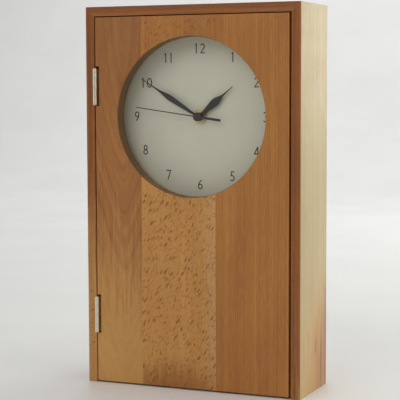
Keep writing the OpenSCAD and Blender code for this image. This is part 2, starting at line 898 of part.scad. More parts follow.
module third_wheel() {
    color([0.82, 0.86, 0.9])
    at_dial() {
        bar(arbor_d, move_y + pivot_t, move_y + plate_t1, third_at);
        gear(third_teeth, third_module, 7.1, 7.9, third_at, meshed(third_teeth, third_dir));
        gear(third_pinion_teeth, centre_module, 5.1, 6.3, third_at, third_dir + 180);
        bar(2.8, move_y + 6.2, move_y + 7.2, third_at);
    }
}

module centre_wheel() {
    color([0.9, 0.88, 0.8])
    at_dial() difference() {
        union() {
            gear(centre_teeth, centre_module, 5.3, 6.1, [0, 0], meshed(centre_teeth, third_dir + 180));
            bar(5, move_y + 5, move_y + 6.5);
        }
        bar(cannon_sleeve_d + 2 * run, move_y + 4, move_y + 8);
    }
}

// Pinion that carries the minute hand on its pipe and the centre wheel on its sleeve
module cannon_pinion() {
    color([0.78, 0.66, 0.38])
    at_dial() difference() {
        union() {
            gear(cannon_teeth, motion_module, 3.3, 4.5, [0, 0], minute_dir);
            bar(cannon_pipe_d, minute_pipe_front, move_y + 3.4);
            bar(cannon_sleeve_d, move_y + 4.4, move_y + 6.6);
        }
        bar(second_arbor_d + 2 * run, minute_pipe_front - 1, move_y + 8);
    }
}

module minute_wheel() {
    color([0.9, 0.9, 0.86])
    at_dial() {
        bar(minute_arbor_d, move_y + pivot_t, move_y + move_d + 4, minute_at);
        gear(minute_teeth, motion_module, 3.5, 4.3, minute_at, meshed(minute_teeth, minute_dir));
        gear(minute_pinion_teeth, hour_module, 1.8, 3, minute_at, minute_dir + 180);
        bar(3.6, move_y + 2.9, move_y + 3.6, minute_at);
    }
}

// Ribbed knob on the rear end of the minute wheel's arbor
knob_ribs = 18;
knob_r = 6;

module setting_knob() {
    color([0.85, 0.84, 0.8])
    at_dial() difference() {
        along_y(move_y + move_d + 0.6, move_y + move_d + 4.6) translate(minute_at) polygon([
            for (i = [0:knob_ribs - 1], k = [0:3])
                polar(knob_r - (k > 1 ? 0.5 : 0), (i + [0.05, 0.45, 0.55, 0.95][k]) * 360 / knob_ribs)]);
        bar(minute_arbor_d, move_y, move_y + move_d + 4, minute_at);
    }
}

module hour_wheel() {
    color([0.9, 0.88, 0.8])
    at_dial() difference() {
        union() {
            gear(hour_teeth, hour_module, 2, 2.8, [0, 0], meshed(hour_teeth, minute_dir + 180));
            bar(hour_pipe_d, hour_pipe_front, move_y + 2.1);
        }
        bar(cannon_pipe_d + 2 * run, hour_pipe_front - 1, move_y + 4);
    }
}

// ---------- Hands ----------

// Outline of a leaf-shaped hand that points at twelve
module leaf_outline(shape) {
    side = smooth(shape);
    last = len(side) - 1;
    polygon(concat([for (p = side) [p[1], p[0]]], [for (i = [last:-1:0]) [-side[i][1], side[i][0]]]));
}

module hour_hand() {
    color([0.14, 0.14, 0.14])
    at_dial() difference() {
        union() {
            along_y(hour_hand_y - hand_t, hour_hand_y) rotate(-hour_angle) leaf_outline(hour_shape);
            bar(2 * hour_boss_r, hour_hand_y - 0.7, hour_hand_y + 0.3);
        }
        bar(hour_pipe_d, hour_pipe_front - 1, dial_y);
    }
}

module minute_hand() {
    color([0.14, 0.14, 0.14])
    at_dial() difference() {
        union() {
            along_y(minute_hand_y - hand_t, minute_hand_y) rotate(-minute_angle) leaf_outline(minute_shape);
            bar(2 * minute_boss_r, minute_hand_y - 0.7, minute_hand_y + 0.3);
        }
        bar(cannon_pipe_d, minute_pipe_front - 1, dial_y);
    }
}

module second_hand() {
    color([0.14, 0.14, 0.14])
    at_dial() difference() {
        union() {
            along_y(second_hand_y - hand_t, second_hand_y) rotate(-second_angle) {
                polygon([[-0.6, 2], [0.6, 2], [0.45, second_len], [-0.45, second_len]]);
                polygon(concat(
                    [[tail_w / 2 - 0.2, -2], [0.2 - tail_w / 2, -2]],
                    arc([0, tail_w / 2 - tail_len], tail_w / 2, 180, 360)));
            }
            bar(2 * second_boss_r, second_front, second_hand_y);
            bar(3, second_hand_y - 0.1, second_hand_y + 0.7);
        }
        bar(second_arbor_d, second_hand_y - 0.1, dial_y);
    }
}

left_side();
right_side();
top_panel();
bottom_panel();
shelf();
back_panel();
back_screws();
left_batten();
right_batten();
dial_board();
dial_board_screws();
dial_plate();
catch_magnet();
door_board_left();
door_board_upper();
door_board_lower();
door_board_right();
strike_plate();
strike_screw();
upper_hinge_case_leaf();
upper_hinge_door_leaf();
upper_hinge_pin();
lower_hinge_case_leaf();
lower_hinge_door_leaf();
lower_hinge_pin();
hinge_case_screws();
hinge_door_screws();
movement_front_case();
movement_rear_cover();
rubber_washer();
brass_washer();
bush_nut();
train_plate();
stator();
coil_bobbin();
coil_winding();
circuit_board();
timing_crystal();
chip();
battery();
positive_contact();
negative_contact();
rotor();
intermediate_wheel();
seconds_wheel();
third_wheel();
centre_wheel();
cannon_pinion();
minute_wheel();
setting_knob();
hour_wheel();
hour_hand();
minute_hand();
second_hand();
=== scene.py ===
"""Wooden mantel clock with a hinged door, built on its CAD frame, in metres."""

import json
import math

import bmesh
import bpy
from bpy.props import FloatProperty, FloatVectorProperty, IntProperty, PointerProperty
from mathutils import Euler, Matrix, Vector


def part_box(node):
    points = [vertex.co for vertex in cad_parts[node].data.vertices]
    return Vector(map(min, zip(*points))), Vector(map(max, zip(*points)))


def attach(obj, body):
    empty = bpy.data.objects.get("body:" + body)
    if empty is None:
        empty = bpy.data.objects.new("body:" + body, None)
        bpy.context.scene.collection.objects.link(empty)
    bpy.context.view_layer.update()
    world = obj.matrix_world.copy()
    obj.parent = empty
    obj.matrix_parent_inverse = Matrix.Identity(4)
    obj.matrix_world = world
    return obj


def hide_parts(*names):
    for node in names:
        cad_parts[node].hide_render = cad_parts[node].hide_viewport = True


bl_info = {
    "name": "Mantel Clock",
    "version": (1, 0, 0),
    "blender": (4, 5, 0),
    "location": "3D View > Sidebar > Mantel Clock",
    "description": "Builds a wooden mantel clock with a hinged door and a quartz movement",
    "category": "Add Mesh",
}

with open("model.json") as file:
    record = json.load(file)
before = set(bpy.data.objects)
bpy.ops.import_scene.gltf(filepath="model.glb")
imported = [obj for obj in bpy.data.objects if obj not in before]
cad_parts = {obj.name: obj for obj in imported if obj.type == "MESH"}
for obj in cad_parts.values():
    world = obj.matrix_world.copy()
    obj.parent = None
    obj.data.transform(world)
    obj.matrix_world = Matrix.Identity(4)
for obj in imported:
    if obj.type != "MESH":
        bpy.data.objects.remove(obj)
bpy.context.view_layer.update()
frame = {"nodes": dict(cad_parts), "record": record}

NODES = frame["nodes"]
BODY_OF = {node: name for name, nodes in frame["record"]["behaviour"]["bodies"].items() for node in nodes}
MM = 0.001
GRAIN_TILT = 0.55  # how far the rings shift across a board's face for each step into the board


def screen(red, green, blue):
    """A linear colour from screen values of 0 to 255."""
    values = []
    for value in (red, green, blue):
        value = value / 255
        values.append(value / 12.92 if value <= 0.04045 else ((value + 0.055) / 1.055) ** 2.4)
    return tuple(values)


def scaled(tone, factor, lift=0.0):
    """A darker or lighter tone."""
    return tuple(min(1.0, part * factor + lift) for part in tone)


# ---------- Settings ----------


def colour_setting(name, what, *shade):
    return FloatVectorProperty(
        name=name, description=what, default=screen(*shade), subtype="COLOR", size=3, min=0.0, max=1.0
    )


def length_setting(name, what, millimetres):
    return FloatProperty(
        name=name, description=what, default=millimetres * MM, min=0.0, subtype="DISTANCE", unit="LENGTH",
        precision=5,
    )


def power_setting(name, what, watts):
    return FloatProperty(name=name, description=what, subtype="POWER", default=watts)


def angle_setting(name, what, radians):
    return FloatProperty(name=name, description=what, subtype="ANGLE", default=radians)


class ClockWoodSettings(bpy.types.PropertyGroup):
    """Tones and figure of the boards."""

    frame_pale: colour_setting("Frame Pale", "Early wood of the case", 174, 110, 53)
    frame_deep: colour_setting("Frame Deep", "Late wood of the case", 131, 72, 30)
    brown_pale: colour_setting("Brown Pale", "Early wood of the left stave", 188, 128, 70)
    brown_deep: colour_setting("Brown Deep", "Late wood of the left stave", 150, 92, 43)
    russet_pale: colour_setting("Russet Pale", "Early wood of the right stave", 201, 139, 70)
    russet_deep: colour_setting("Russet Deep", "Late wood of the right stave", 162, 100, 44)
    golden_pale: colour_setting("Golden Pale", "Early wood of the golden stave", 216, 161, 90)
    golden_deep: colour_setting("Golden Deep", "Late wood of the golden stave", 190, 129, 63)
    # Painted sheen: a pale tone that stands for the glossy reflection of the lamp on the right side's face;
    # the board's own wood is as brown as the front
    sap: colour_setting("Sapwood", "Paler wood outside the heart", 218, 197, 144)
    fleck: colour_setting("Fleck", "Rays cut across the grain", 138, 76, 30)
    # The window's wall: painted shade of the deep, turned-away wall, over the edge grain's own slightly
    # darker tone
    stained: colour_setting("Stained Cut", "Sawn wall of the window", 84, 68, 42)
    worn: colour_setting("Worn Edge", "Wood where the lacquer has rubbed thin", 214, 170, 118)
    ply_face: colour_setting("Ply Face", "Outer veneer of the plywood", 214, 186, 142)
    ply_core: colour_setting("Ply Core", "Late wood and cross veneer of the plywood", 176, 138, 94)
    ring_width: length_setting("Ring Width", "Distance between two growth rings", 2.6)
    fleck_length: length_setting("Fleck Length", "Length of a ray fleck", 5.4)
    fleck_width: length_setting("Fleck Width", "Width of a ray fleck", 1.95)
    softness: length_setting("Edge Softness", "Rounding of the sanded edges", 0.35)


class ClockDialSettings(bpy.types.PropertyGroup):
    """Dial, numbers and hands."""

    enamel: colour_setting("Dial", "Paint of the dial", 219, 217, 197)
    ink: colour_setting("Ink", "Printed numbers", 52, 52, 50)
    hand: colour_setting("Hands", "Enamel of the hands", 58, 57, 56)
    ring_height: length_setting("Ring Height", "Number ring radius up and down", 71)
    ring_width: length_setting("Ring Width", "Number ring radius left and right", 73)
    number_height: length_setting("Number Height", "Height of a printed number", 10.3)
    stroke: length_setting("Stroke", "Width of a printed stroke", 1.15)
    ink_depth: length_setting("Ink Depth", "Thickness of the print", 0.05)


class ClockMetalSettings(bpy.types.PropertyGroup):
    """Tones of the metal and plastic pieces, and the screws' thread."""

    nickel: colour_setting("Nickel", "Hinges and their screws", 240, 234, 214)
    steel: colour_setting("Steel", "Contacts, stator and screws", 190, 190, 188)
    brass: colour_setting("Brass", "Bush, nut and washer", 224, 207, 174)
    copper: colour_setting("Copper", "Winding of the coil", 196, 104, 62)
    black_plastic: colour_setting("Black Plastic", "Shells of the movement", 40, 40, 42)
    pale_plastic: colour_setting("Pale Plastic", "Wheels and bobbin", 226, 222, 208)
    board_green: colour_setting("Circuit Board", "Solder mask", 30, 92, 54)
    battery: colour_setting("Battery", "Sleeve of the battery", 70, 86, 108)
    seed: IntProperty(name="Screw Seed", description="Turns each screw slot its own way", default=7, min=0)
    thread_pitch: length_setting("Thread Pitch", "Distance between two turns of a screw", 0.8)


class ClockStageSettings(bpy.types.PropertyGroup):
    """Camera, floor and lamps."""

    eye: FloatVectorProperty(
        name="Camera Place", description="Where the camera stands", subtype="TRANSLATION", unit="LENGTH",
        default=(0.5525, -1.3061, 0.3155),
    )
    turn: angle_setting("Camera Turn", "Turn about the vertical", 0.405)
    tilt: angle_setting("Camera Tilt", "Look downwards", 0.084)
    roll: angle_setting("Camera Roll", "Roll of the view", -0.003)
    lens: FloatProperty(name="Lens", description="Focal length", subtype="DISTANCE_CAMERA", default=120.59)
    floor: colour_setting("Floor", "Pale floor and backdrop", 242, 242, 240)
    key_power: power_setting("Window Lamp", "Lamp behind, on the right", 17.5)
    fill_power: power_setting("Fill Lamp", "Lamp in front", 11.5)
    side_power: power_setting("Side Lamp", "Lamp on the right", 9.0)
    wall_power: power_setting("Wall Lamp", "Lamp on the backdrop", 30.0)
    left_power: power_setting("Left Lamp", "Low lamp on the left", 2.0)
    top_power: power_setting("Top Lamp", "Lamp overhead", 9.0)
    sky: FloatProperty(name="Room Light", description="Light from all sides", default=0.39, min=0.0)


# ---------- Node wiring ----------


def joining(operation, flipped=False):
    """A method that joins a value and another by one math node; a tuple makes it vector math."""

    def join(self, other):
        pair = (other, self) if flipped else (self, other)
        method = self.wires.vector if isinstance(other, tuple) else self.wires.math
        return method(operation, *pair)

    return join


class Value:
    """A node's output that the usual signs join to others by more nodes."""

    def __init__(self, wires, socket):
        self.wires = wires
        self.socket = socket

    __add__ = joining("ADD")
    __radd__ = joining("ADD", flipped=True)
    __sub__ = joining("SUBTRACT")
    __rsub__ = joining("SUBTRACT", flipped=True)
    __mul__ = joining("MULTIPLY")
    __truediv__ = joining("DIVIDE")
    __pow__ = joining("POWER")


class Outputs:
    """A node's outputs as values, by name or number."""

    def __init__(self, wires, sockets):
        self.wires = wires
        self.sockets = sockets

    def __getitem__(self, key):
        return Value(self.wires, self.sockets[key])


class Wiring:
    """Adds nodes to one node tree and joins their sockets."""

    def __init__(self, tree):
        self.tree = tree

    def feed(self, socket, value):
        """Gives a socket a number, a value or, where it takes several, a list of values."""
        for part in value if isinstance(value, list) else [value]:
            if isinstance(part, Value):
                self.tree.links.new(part.socket, socket)
            else:
                socket.default_value = part

    def add(self, kind, inputs=None, **settings):
        node = self.tree.nodes.new(kind)
        for name, value in settings.items():
            setattr(node, name, value)
        for name, value in (inputs or {}).items():
            self.feed(node.inputs[name], value)
        return Outputs(self, node.outputs)

    def group(self, tree, **values):
        """Places a shared effect; a value's name has _ for each space."""
        inputs = {name.replace("_", " "): value for name, value in values.items()}
        return self.add("ShaderNodeGroup", inputs, node_tree=tree)

    def math(self, operation, *values):
        return self.add("ShaderNodeMath", dict(enumerate(values)), operation=operation)[0]

    def vector(self, operation, *values, output="Vector"):
        return self.add("ShaderNodeVectorMath", dict(enumerate(values)), operation=operation)[output]

    def split(self, vector):
        return self.add("ShaderNodeSeparateXYZ", {"Vector": vector})

    def join(self, x, y, z):
        return self.add("ShaderNodeCombineXYZ", {"X": x, "Y": y, "Z": z})[0]

    def noise(self, vector, scale=1.0, detail=2.0, roughness=0.5):
        values = {"Vector": vector, "Scale": scale, "Detail": detail, "Roughness": roughness}
        return self.add("ShaderNodeTexNoise", values)["Fac"]

    def line_noise(self, value, scale=1.0, detail=2.0):
        values = {"W": value, "Scale": scale, "Detail": detail}
        return self.add("ShaderNodeTexNoise", values, noise_dimensions="1D")["Fac"]

    def spread(self, value, low, high, bottom=0.0, top=1.0):
        """Maps low to high smoothly onto bottom to top."""
        values = {"Value": value, "From Min": low, "From Max": high, "To Min": bottom, "To Max": top}
        return self.add("ShaderNodeMapRange", values, interpolation_type="SMOOTHSTEP")["Result"]

    def blend(self, factor, first, second):
        """Turns one colour into another as the factor grows."""
        values = {0: factor, 6: opaque(first), 7: opaque(second)}
        return self.add("ShaderNodeMix", values, data_type="RGBA")[2]

    def bump(self, height, strength, distance):
        values = {"Strength": strength, "Distance": distance, "Height": height}
        return self.add("ShaderNodeBump", values)["Normal"]


def opaque(tone):
    """A tone of three numbers with an alpha of 1, and a value as it is."""
    return tone if isinstance(tone, Value) else (*tuple(tone)[:3], 1.0)


def shared_tree(name, inputs, kind="Shader"):
    """Turns a function that wires a node group into one that makes the group once and returns it.

    Each input has its default, or the name of its type where it has none. The function returns the
    value of each output."""
    kinds = {float: "Float", int: "Int", tuple: "Vector"}
    result_kind = "Float" if kind == "Shader" else "Geometry"

    def wrap(build):
        def tree():
            found = bpy.data.node_groups.get(name)
            if found:
                return found
            made = bpy.data.node_groups.new(name, kind + "NodeTree")
            for label, value in inputs.items():
                plain = isinstance(value, str)
                socket_kind = "NodeSocket" + (value if plain else kinds[type(value)])
                socket = made.interface.new_socket(label, in_out="INPUT", socket_type=socket_kind)
                if not plain:
                    socket.default_value = value
            wires = Wiring(made)
            results = build(wires, wires.add("NodeGroupInput"))
            for label in results:
                made.interface.new_socket(label, in_out="OUTPUT", socket_type="NodeSocket" + result_kind)
            wires.add("NodeGroupOutput", results)
            return made

        return tree

    return wrap


GRAIN_INPUTS = {
    "Vector": "Vector", "Heart": 0.0, "Tip": 4.0, "Rise": 0.0, "Crown": 1000.0, "Ring Width": 2.6,
    "Wander": 3.0, "Knot Across": 0.0, "Knot Along": 0.0, "Knot Size": 0.0,
}


@shared_tree("wood_grain", GRAIN_INPUTS)
def grain_group(wires, given):
    """Growth rings, fibres and a knot in millimetres, with the grain along Z and the face across X."""
    spot = given["Vector"]
    slow = wires.noise(spot * (0.012, 0.012, 0.005), detail=1.0)
    quick = wires.noise(spot * (0.08, 0.08, 0.016), detail=1.0)
    drift = (slow - 0.5 + quick * 0.12) * (given["Wander"] * 2.0)
    x, y, z = wires.split(spot)
    across = x - given["Heart"] + drift
    knot_x = x - given["Knot Across"]
    knot_z = (z - given["Knot Along"]) * 0.35
    knot_far = wires.math("SQRT", knot_x ** 2.0 + knot_z ** 2.0)
    knot = wires.math("EXPONENT", knot_far / wires.math("MAXIMUM", given["Knot Size"], 0.01) * -1.0)
    knot = knot * wires.math("GREATER_THAN", given["Knot Size"], 0.02)
    climb = wires.math("SMOOTH_MIN", z, given["Crown"], 120.0)
    figure = wires.math("SQRT", across ** 2.0 + given["Tip"] ** 2.0) + given["Rise"] * climb
    figure = figure + y * GRAIN_TILT + knot * (given["Knot Size"] * 3.0)
    step = wires.math("FRACT", figure / given["Ring Width"] + quick * 0.7)
    ridge = step ** 2.5 * wires.spread(step, 0.9, 1.0, 1.0, 0.0)
    return {
        "Figure": figure,
        "Bands": wires.line_noise(figure, 0.16),
        "Lines": ridge * 0.7 + wires.line_noise(figure, 1.7, 3.0) * 0.5,
        "Fibres": wires.noise(spot * (1.9, 1.9, 0.075), detail=3.0, roughness=0.6),
        "Knot": wires.spread(knot, 0.25, 0.8),
    }


@shared_tree("ray_flecks", {"Vector": "Vector", "Length": 5.0, "Width": 1.7, "Slant": 0.25, "Share": 0.7})
def fleck_group(wires, given):
    """Lens-shaped ray flecks of a wood cut across its rays, in millimetres with the grain along Z."""
    x, y, z = wires.split(given["Vector"])
    bend = wires.noise(given["Vector"] * (0.16, 0.0, 0.1)) - 0.5
    leaning = x + y * 0.3 - z * given["Slant"] + bend * 5.0
    rising = z + bend * 9.0
    layers = []
    for scale, share in ((1.0, 0.75), (0.62, 1.0)):
        cell_x = leaning / (given["Width"] * (2.1 * scale))
        cell_z = rising / (given["Length"] * (1.35 * scale))
        place = {"Vector": wires.join(cell_x, cell_z, 0.0), "Scale": 1.0, "Randomness": 1.0}
        cells = wires.add("ShaderNodeTexVoronoi", place, voronoi_dimensions="2D")
        chance = wires.add("ShaderNodeSeparateColor", {"Color": cells["Color"]})
        size = wires.spread(chance[1], 0.0, 1.0, 0.16, 0.44)
        lens = wires.spread(cells["Distance"], size * 0.5, size, 1.0, 0.0)
        here = wires.math("LESS_THAN", chance[0], given["Share"] * share)
        layers.append(lens * here * wires.spread(chance[2], 0.0, 1.0, 0.4 * scale, scale))
    return {"Flecks": wires.math("MAXIMUM", *layers)}


@shared_tree("edge_wear", {"Vector": "Vector", "Reach": 0.0006, "Breakup": 0.4})
def wear_group(wires, given):
    """Marks where a piece's edges have been rubbed."""
    rounded = wires.add("ShaderNodeBevel", {"Radius": given["Reach"]}, samples=3)["Normal"]
    straight = wires.add("ShaderNodeNewGeometry")["Normal"]
    facing = wires.vector("DOT_PRODUCT", rounded, straight, output="Value")
    breakup = wires.noise(given["Vector"], given["Breakup"], 3.0)
    return {"Wear": wires.spread(1.0 - facing, 0.02, 0.22) * wires.spread(breakup, 0.35, 0.65, 0.15, 1.0)}


@shared_tree("handling_marks", {"Vector": "Vector", "Stretch": (1.0, 1.0, 1.0), "Fineness": 2.0})
def handling_group(wires, given):
    """Fine scratches and the slow change of gloss that handling leaves, in millimetres."""
    pulled = wires.vector("MULTIPLY", given["Vector"], given["Stretch"])
    lines = wires.noise(pulled, given["Fineness"], 4.0, 0.7)
    smudges = wires.noise(given["Vector"], 0.06, 3.0)
    return {"Scratches": wires.spread(lines, 0.3, 0.7), "Smudges": wires.spread(smudges, 0.3, 0.7)}


# ---------- Materials ----------


def finish(build):
    """Turns a function that wires a finish into one that makes it once for each name.

    The function is given the piece's own place in millimetres, and returns the shader's inputs."""

    def made(name, *values, **settings):
        found = bpy.data.materials.get(name + "_finish")
        if found:
            return found
        material = bpy.data.materials.new(name + "_finish")
        material.use_nodes = True
        nodes = material.node_tree.nodes
        nodes.clear()
        wires = Wiring(material.node_tree)
        place = wires.add("ShaderNodeTexCoord")["Object"] * (1000.0, 1000.0, 1000.0)
        surface = wires.add("ShaderNodeBsdfPrincipled", build(wires, place, *values, **settings))[0]
        wires.add("ShaderNodeOutputMaterial", {"Surface": surface})
        return material

    return made


def turned_board(wires, place, across, along):
    """The place with its parts in the order across, into and along a board."""
    parts = dict(zip("XYZ", wires.split(place)))
    into = ({"X", "Y", "Z"} - {along, across}).pop()
    return wires.join(parts[across], parts[into], parts[along])


def reach_from(wires, turned, x, z, width=1.0, height=1.0):
    """How far a place is from (x, z) on a board's face, in units of that width and height."""
    near = (turned - (x, 0.0, z)) * (1 / width, 0.0, 1 / height)
    return wires.vector("LENGTH", near, output="Value")


def shaded(wires, depth, tone):
    """A tone that darkens with the depth of the figure."""
    return wires.blend(depth * 0.6, tone, scaled(tone, 0.7))


@finish
def wood(wires, place, tones, along, across, heart=400.0, tip=4.0, rise=0.0, crown=1000.0, wander=3.0,
         contrast=1.0, sap=None, lines=0.75, rings=1.0, flecks=0.0, fleck_size=1.0, slant=0.25,
         knot=(0.0, 0.0, 0.0), patches=(), well=None):
    """Lacquered beech whose grain runs along one axis and whose face runs across another.

    heart is where the rings' centre line crosses the face, and crown is the height above which that
    line stops rising. The sheen range is where the figure turns into the pale sheen tone: a painted sheen
    that stands for a glossy reflection of the lamp, not paler wood.
    Each patch is a streaked place of another tone, some streaks of the wood and some painted light and
    painted shade: across, along, width, height, tone and strength.
    well is a round opening whose wall is darkened: painted shade of the deep, turned-away wall over the edge
    grain's own darker tone; across, along and radius."""
    settings = bpy.context.scene.clock_wood
    turned = turned_board(wires, place, across, along)
    knot_across, knot_along, knot_size = knot
    grain = wires.group(
        grain_group(), Vector=turned, Heart=heart, Tip=tip, Rise=rise, Crown=crown, Wander=wander,
        Ring_Width=settings.ring_width / MM * rings, Knot_Across=knot_across, Knot_Along=knot_along,
        Knot_Size=knot_size,
    )
    fibres = grain["Fibres"]
    wear = wires.group(wear_group(), Vector=place)["Wear"]
    rubbed = wires.group(handling_group(), Vector=place)["Smudges"]
    clouds = wires.noise(turned * (0.03, 0.03, 0.009))
    shade = (grain["Bands"] - 0.5) * (1.5 * contrast) + (grain["Lines"] - 0.3) * (lines * contrast)
    shade = shade + (fibres - 0.5) * 1.3 + (clouds - 0.5) * 0.9
    tone = wires.spread(shade, -0.75, 0.75)
    colour = wires.blend(tone, getattr(settings, tones + "_pale"), getattr(settings, tones + "_deep"))
    # Painted sheen: past the given range the face turns pale, as if lit by a glossy reflection
    if sap:
        sheen_share = wires.spread(grain["Figure"], *sap, 0.0, 0.9)
        colour = wires.blend(sheen_share, colour, shaded(wires, tone, settings.sap))
    streaks = wires.noise(turned * (0.3, 0.3, 0.013), detail=3.0)
    for x, z, width, height, patch_tone, strength in patches:
        far = reach_from(wires, turned, x, z, width, height)
        ragged = far + (streaks - 0.5) * 1.2 + (fibres - 0.5) * 0.5
        inside = wires.spread(ragged, 0.4, 1.3, strength, 0.0)
        colour = wires.blend(inside, colour, shaded(wires, tone, getattr(settings, patch_tone)))
    relief = fibres * 0.6 - grain["Lines"] * 0.35
    if flecks > 0.0:
        rays = wires.group(
            fleck_group(), Vector=turned, Share=flecks, Slant=slant,
            Length=settings.fleck_length / MM * fleck_size, Width=settings.fleck_width / MM * fleck_size,
        )["Flecks"]
        colour = wires.blend(rays * 0.78, colour, settings.fleck)
        relief = relief - rays * 1.3
    pores = wires.group(fleck_group(), Vector=turned, Share=0.8, Slant=0.02, Length=3.4, Width=0.5)["Flecks"]
    for share, mark in ((pores * 0.2, "fleck"), (grain["Knot"] * 0.45, "fleck"), (wear * 0.3, "worn")):
        colour = wires.blend(share, colour, getattr(settings, mark))
    if well:
        x, z, radius = well
        # Painted shade on the window's wall, over the edge grain's own darker tone
        wall = wires.spread(reach_from(wires, turned, x, z), radius + 0.1, radius + 0.7, 0.75, 0.0)
        colour = wires.blend(wall, colour, settings.stained)
    return {
        "Base Color": colour,
        "Roughness": 0.36 + rubbed * 0.09 + fibres * 0.12,
        "Specular IOR Level": 0.35,
        "Coat Weight": 0.1,
        "Coat Roughness": 0.3,
        "Normal": wires.bump(relief, 0.35, 0.12 * MM),
    }


@finish
def plywood(wires, place, thickness, along, across):
    """Three-ply board: face veneers with a cross veneer between them that shows at the edges."""
    settings = bpy.context.scene.clock_wood
    turned = turned_board(wires, place, across, along)
    x, y, z = wires.split(turned)
    figure = {"Heart": 12.0, "Tip": 22.0, "Rise": 0.14, "Wander": 16.0, "Ring_Width": 14.0}
    face = wires.group(grain_group(), Vector=turned, **figure)
    core = wires.group(grain_group(), Vector=wires.join(z, y, x), Heart=300.0, Wander=2.0, Ring_Width=2.0)
    low, high = thickness
    third = (high - low) / 3
    inside = wires.math("ABSOLUTE", y - (low + high) / 2)
    inside = wires.spread(inside, third * 0.46, third * 0.54, 1.0, 0.0)
    lines = face["Bands"] * 0.9 + face["Lines"] * 0.5
    veneer = wires.blend(wires.spread(lines, 0.35, 1.05, 0.0, 0.5), settings.ply_face, settings.ply_core)
    veneer = wires.blend(face["Fibres"] * 0.3, veneer, settings.ply_core)
    middle = wires.blend(core["Fibres"] * 0.6, settings.ply_core, settings.fleck)
    wear = wires.group(wear_group(), Vector=place)["Wear"]
    return {
        "Base Color": wires.blend(wear * 0.25, wires.blend(inside, veneer, middle), settings.worn),
        "Roughness": wires.spread(face["Fibres"], 0.2, 0.8, 0.55, 0.8),
        "Specular IOR Level": 0.3,
        "Normal": wires.bump(face["Fibres"] - lines, 0.4, 0.15 * MM),
    }


@finish
def metal(wires, place, tone, roughness, stretch=(1.0, 1.0, 0.06), tarnish=0.35):
    """Plated or drawn metal with fine lines, duller spots and bright edges."""
    marks = wires.group(handling_group(), Vector=place, Stretch=stretch, Fineness=7.0)
    wear = wires.group(wear_group(), Vector=place, Reach=0.3 * MM, Breakup=1.5)["Wear"]
    dull = scaled(tone, 0.55)
    spots = wires.spread(wires.noise(place, 0.9, 4.0, 0.65), 0.5, 0.75, 0.0, tarnish)
    colour = wires.blend(marks["Smudges"] * tarnish, tone, dull)
    colour = wires.blend(spots, colour, dull)
    return {
        "Base Color": wires.blend(wear, colour, scaled(tone, 1.25, 0.03)),
        "Metallic": 1.0,
        "Roughness": roughness + marks["Scratches"] * 0.14 + spots * 0.3,
        "Normal": wires.bump(marks["Scratches"], 0.15, 0.03 * MM),
    }


@finish
def plastic(wires, place, tone, roughness, texture=2.2, depth=0.25):
    """Moulded plastic with a fine spark-eroded texture and rubbed corners."""
    marks = wires.group(handling_group(), Vector=place, Fineness=texture)
    wear = wires.group(wear_group(), Vector=place, Reach=0.4 * MM, Breakup=0.9)["Wear"]
    lighter = scaled(tone, 1.3, 0.035)
    colour = wires.blend(marks["Smudges"], scaled(tone, 0.8), tone)
    colour = wires.blend(marks["Scratches"] * 0.2, colour, lighter)
    return {
        "Base Color": wires.blend(wear * 0.6, colour, lighter),
        "Roughness": roughness + marks["Scratches"] * 0.12 - wear * 0.1,
        "Normal": wires.bump(marks["Scratches"], depth, 0.06 * MM),
    }


@finish
def dial_enamel(wires, place, tone, centre):
    """Pale sprayed dial with a slight orange peel, fine specks and a rim that has yellowed a little."""
    peel = wires.noise(place, 1.1, 3.0)
    mottle = wires.noise(place, 0.035, 3.0)
    specks = wires.spread(wires.noise(place, 5.0), 0.68, 0.76, 0.0, 0.2)
    far = reach_from(wires, place, centre.x / MM, centre.z / MM)
    cloudy = (tone[0] * 0.96, tone[1] * 0.97, tone[2] * 0.98)
    aged = (tone[0] * 0.93, tone[1] * 0.9, tone[2] * 0.8)
    colour = wires.blend(wires.spread(mottle, 0.35, 0.65), tone, cloudy)
    colour = wires.blend(wires.spread(far, 55.0, 100.0, 0.0, 0.3), colour, aged)
    return {
        "Base Color": wires.blend(specks, colour, scaled(tone, 0.7)),
        "Roughness": wires.spread(peel, 0.3, 0.7, 0.5, 0.62),
        "Normal": wires.bump(peel, 0.12, 0.08 * MM),
    }


@finish
def printed_ink(wires, place, tone):
    """Matt ink that lies a little unevenly."""
    uneven = wires.noise(place, 2.4, 3.0)
    return {
        "Base Color": wires.blend(wires.spread(uneven, 0.35, 0.75), tone, scaled(tone, 1.6, 0.01)),
        "Roughness": wires.spread(uneven, 0.2, 0.8, 0.5, 0.7),
        "Normal": wires.bump(uneven, 0.1, 0.02 * MM),
    }


@finish
def coil_copper(wires, place, tone):
    """Enamelled wire of an uneven tone."""
    return {
        "Base Color": wires.blend(wires.spread(wires.noise(place, 0.8), 0.3, 0.8), tone, scaled(tone, 0.45)),
        "Metallic": 1.0,
        "Roughness": wires.spread(wires.noise(place, 4.0), 0.2, 0.8, 0.22, 0.42),
        "Coat Weight": 0.5,
    }


@finish
def circuit_lacquer(wires, place, tone):
    """Green solder mask over raised tracks."""
    cells = wires.add("ShaderNodeTexVoronoi", {"Vector": place, "Scale": 0.45}, distance="CHEBYCHEV")
    tracks = wires.spread(wires.math("SINE", cells["Distance"] * 14.0), 0.1, 0.5)
    weave = wires.noise(place, 3.0)
    glass = (0.3, 0.32, 0.12)
    return {
        "Base Color": wires.blend(weave * 0.2, wires.blend(tracks * 0.6, tone, scaled(tone, 1.9)), glass),
        "Roughness": wires.spread(weave, 0.2, 0.8, 0.25, 0.4),
        "Normal": wires.bump(tracks, 0.5, 0.03 * MM),
    }


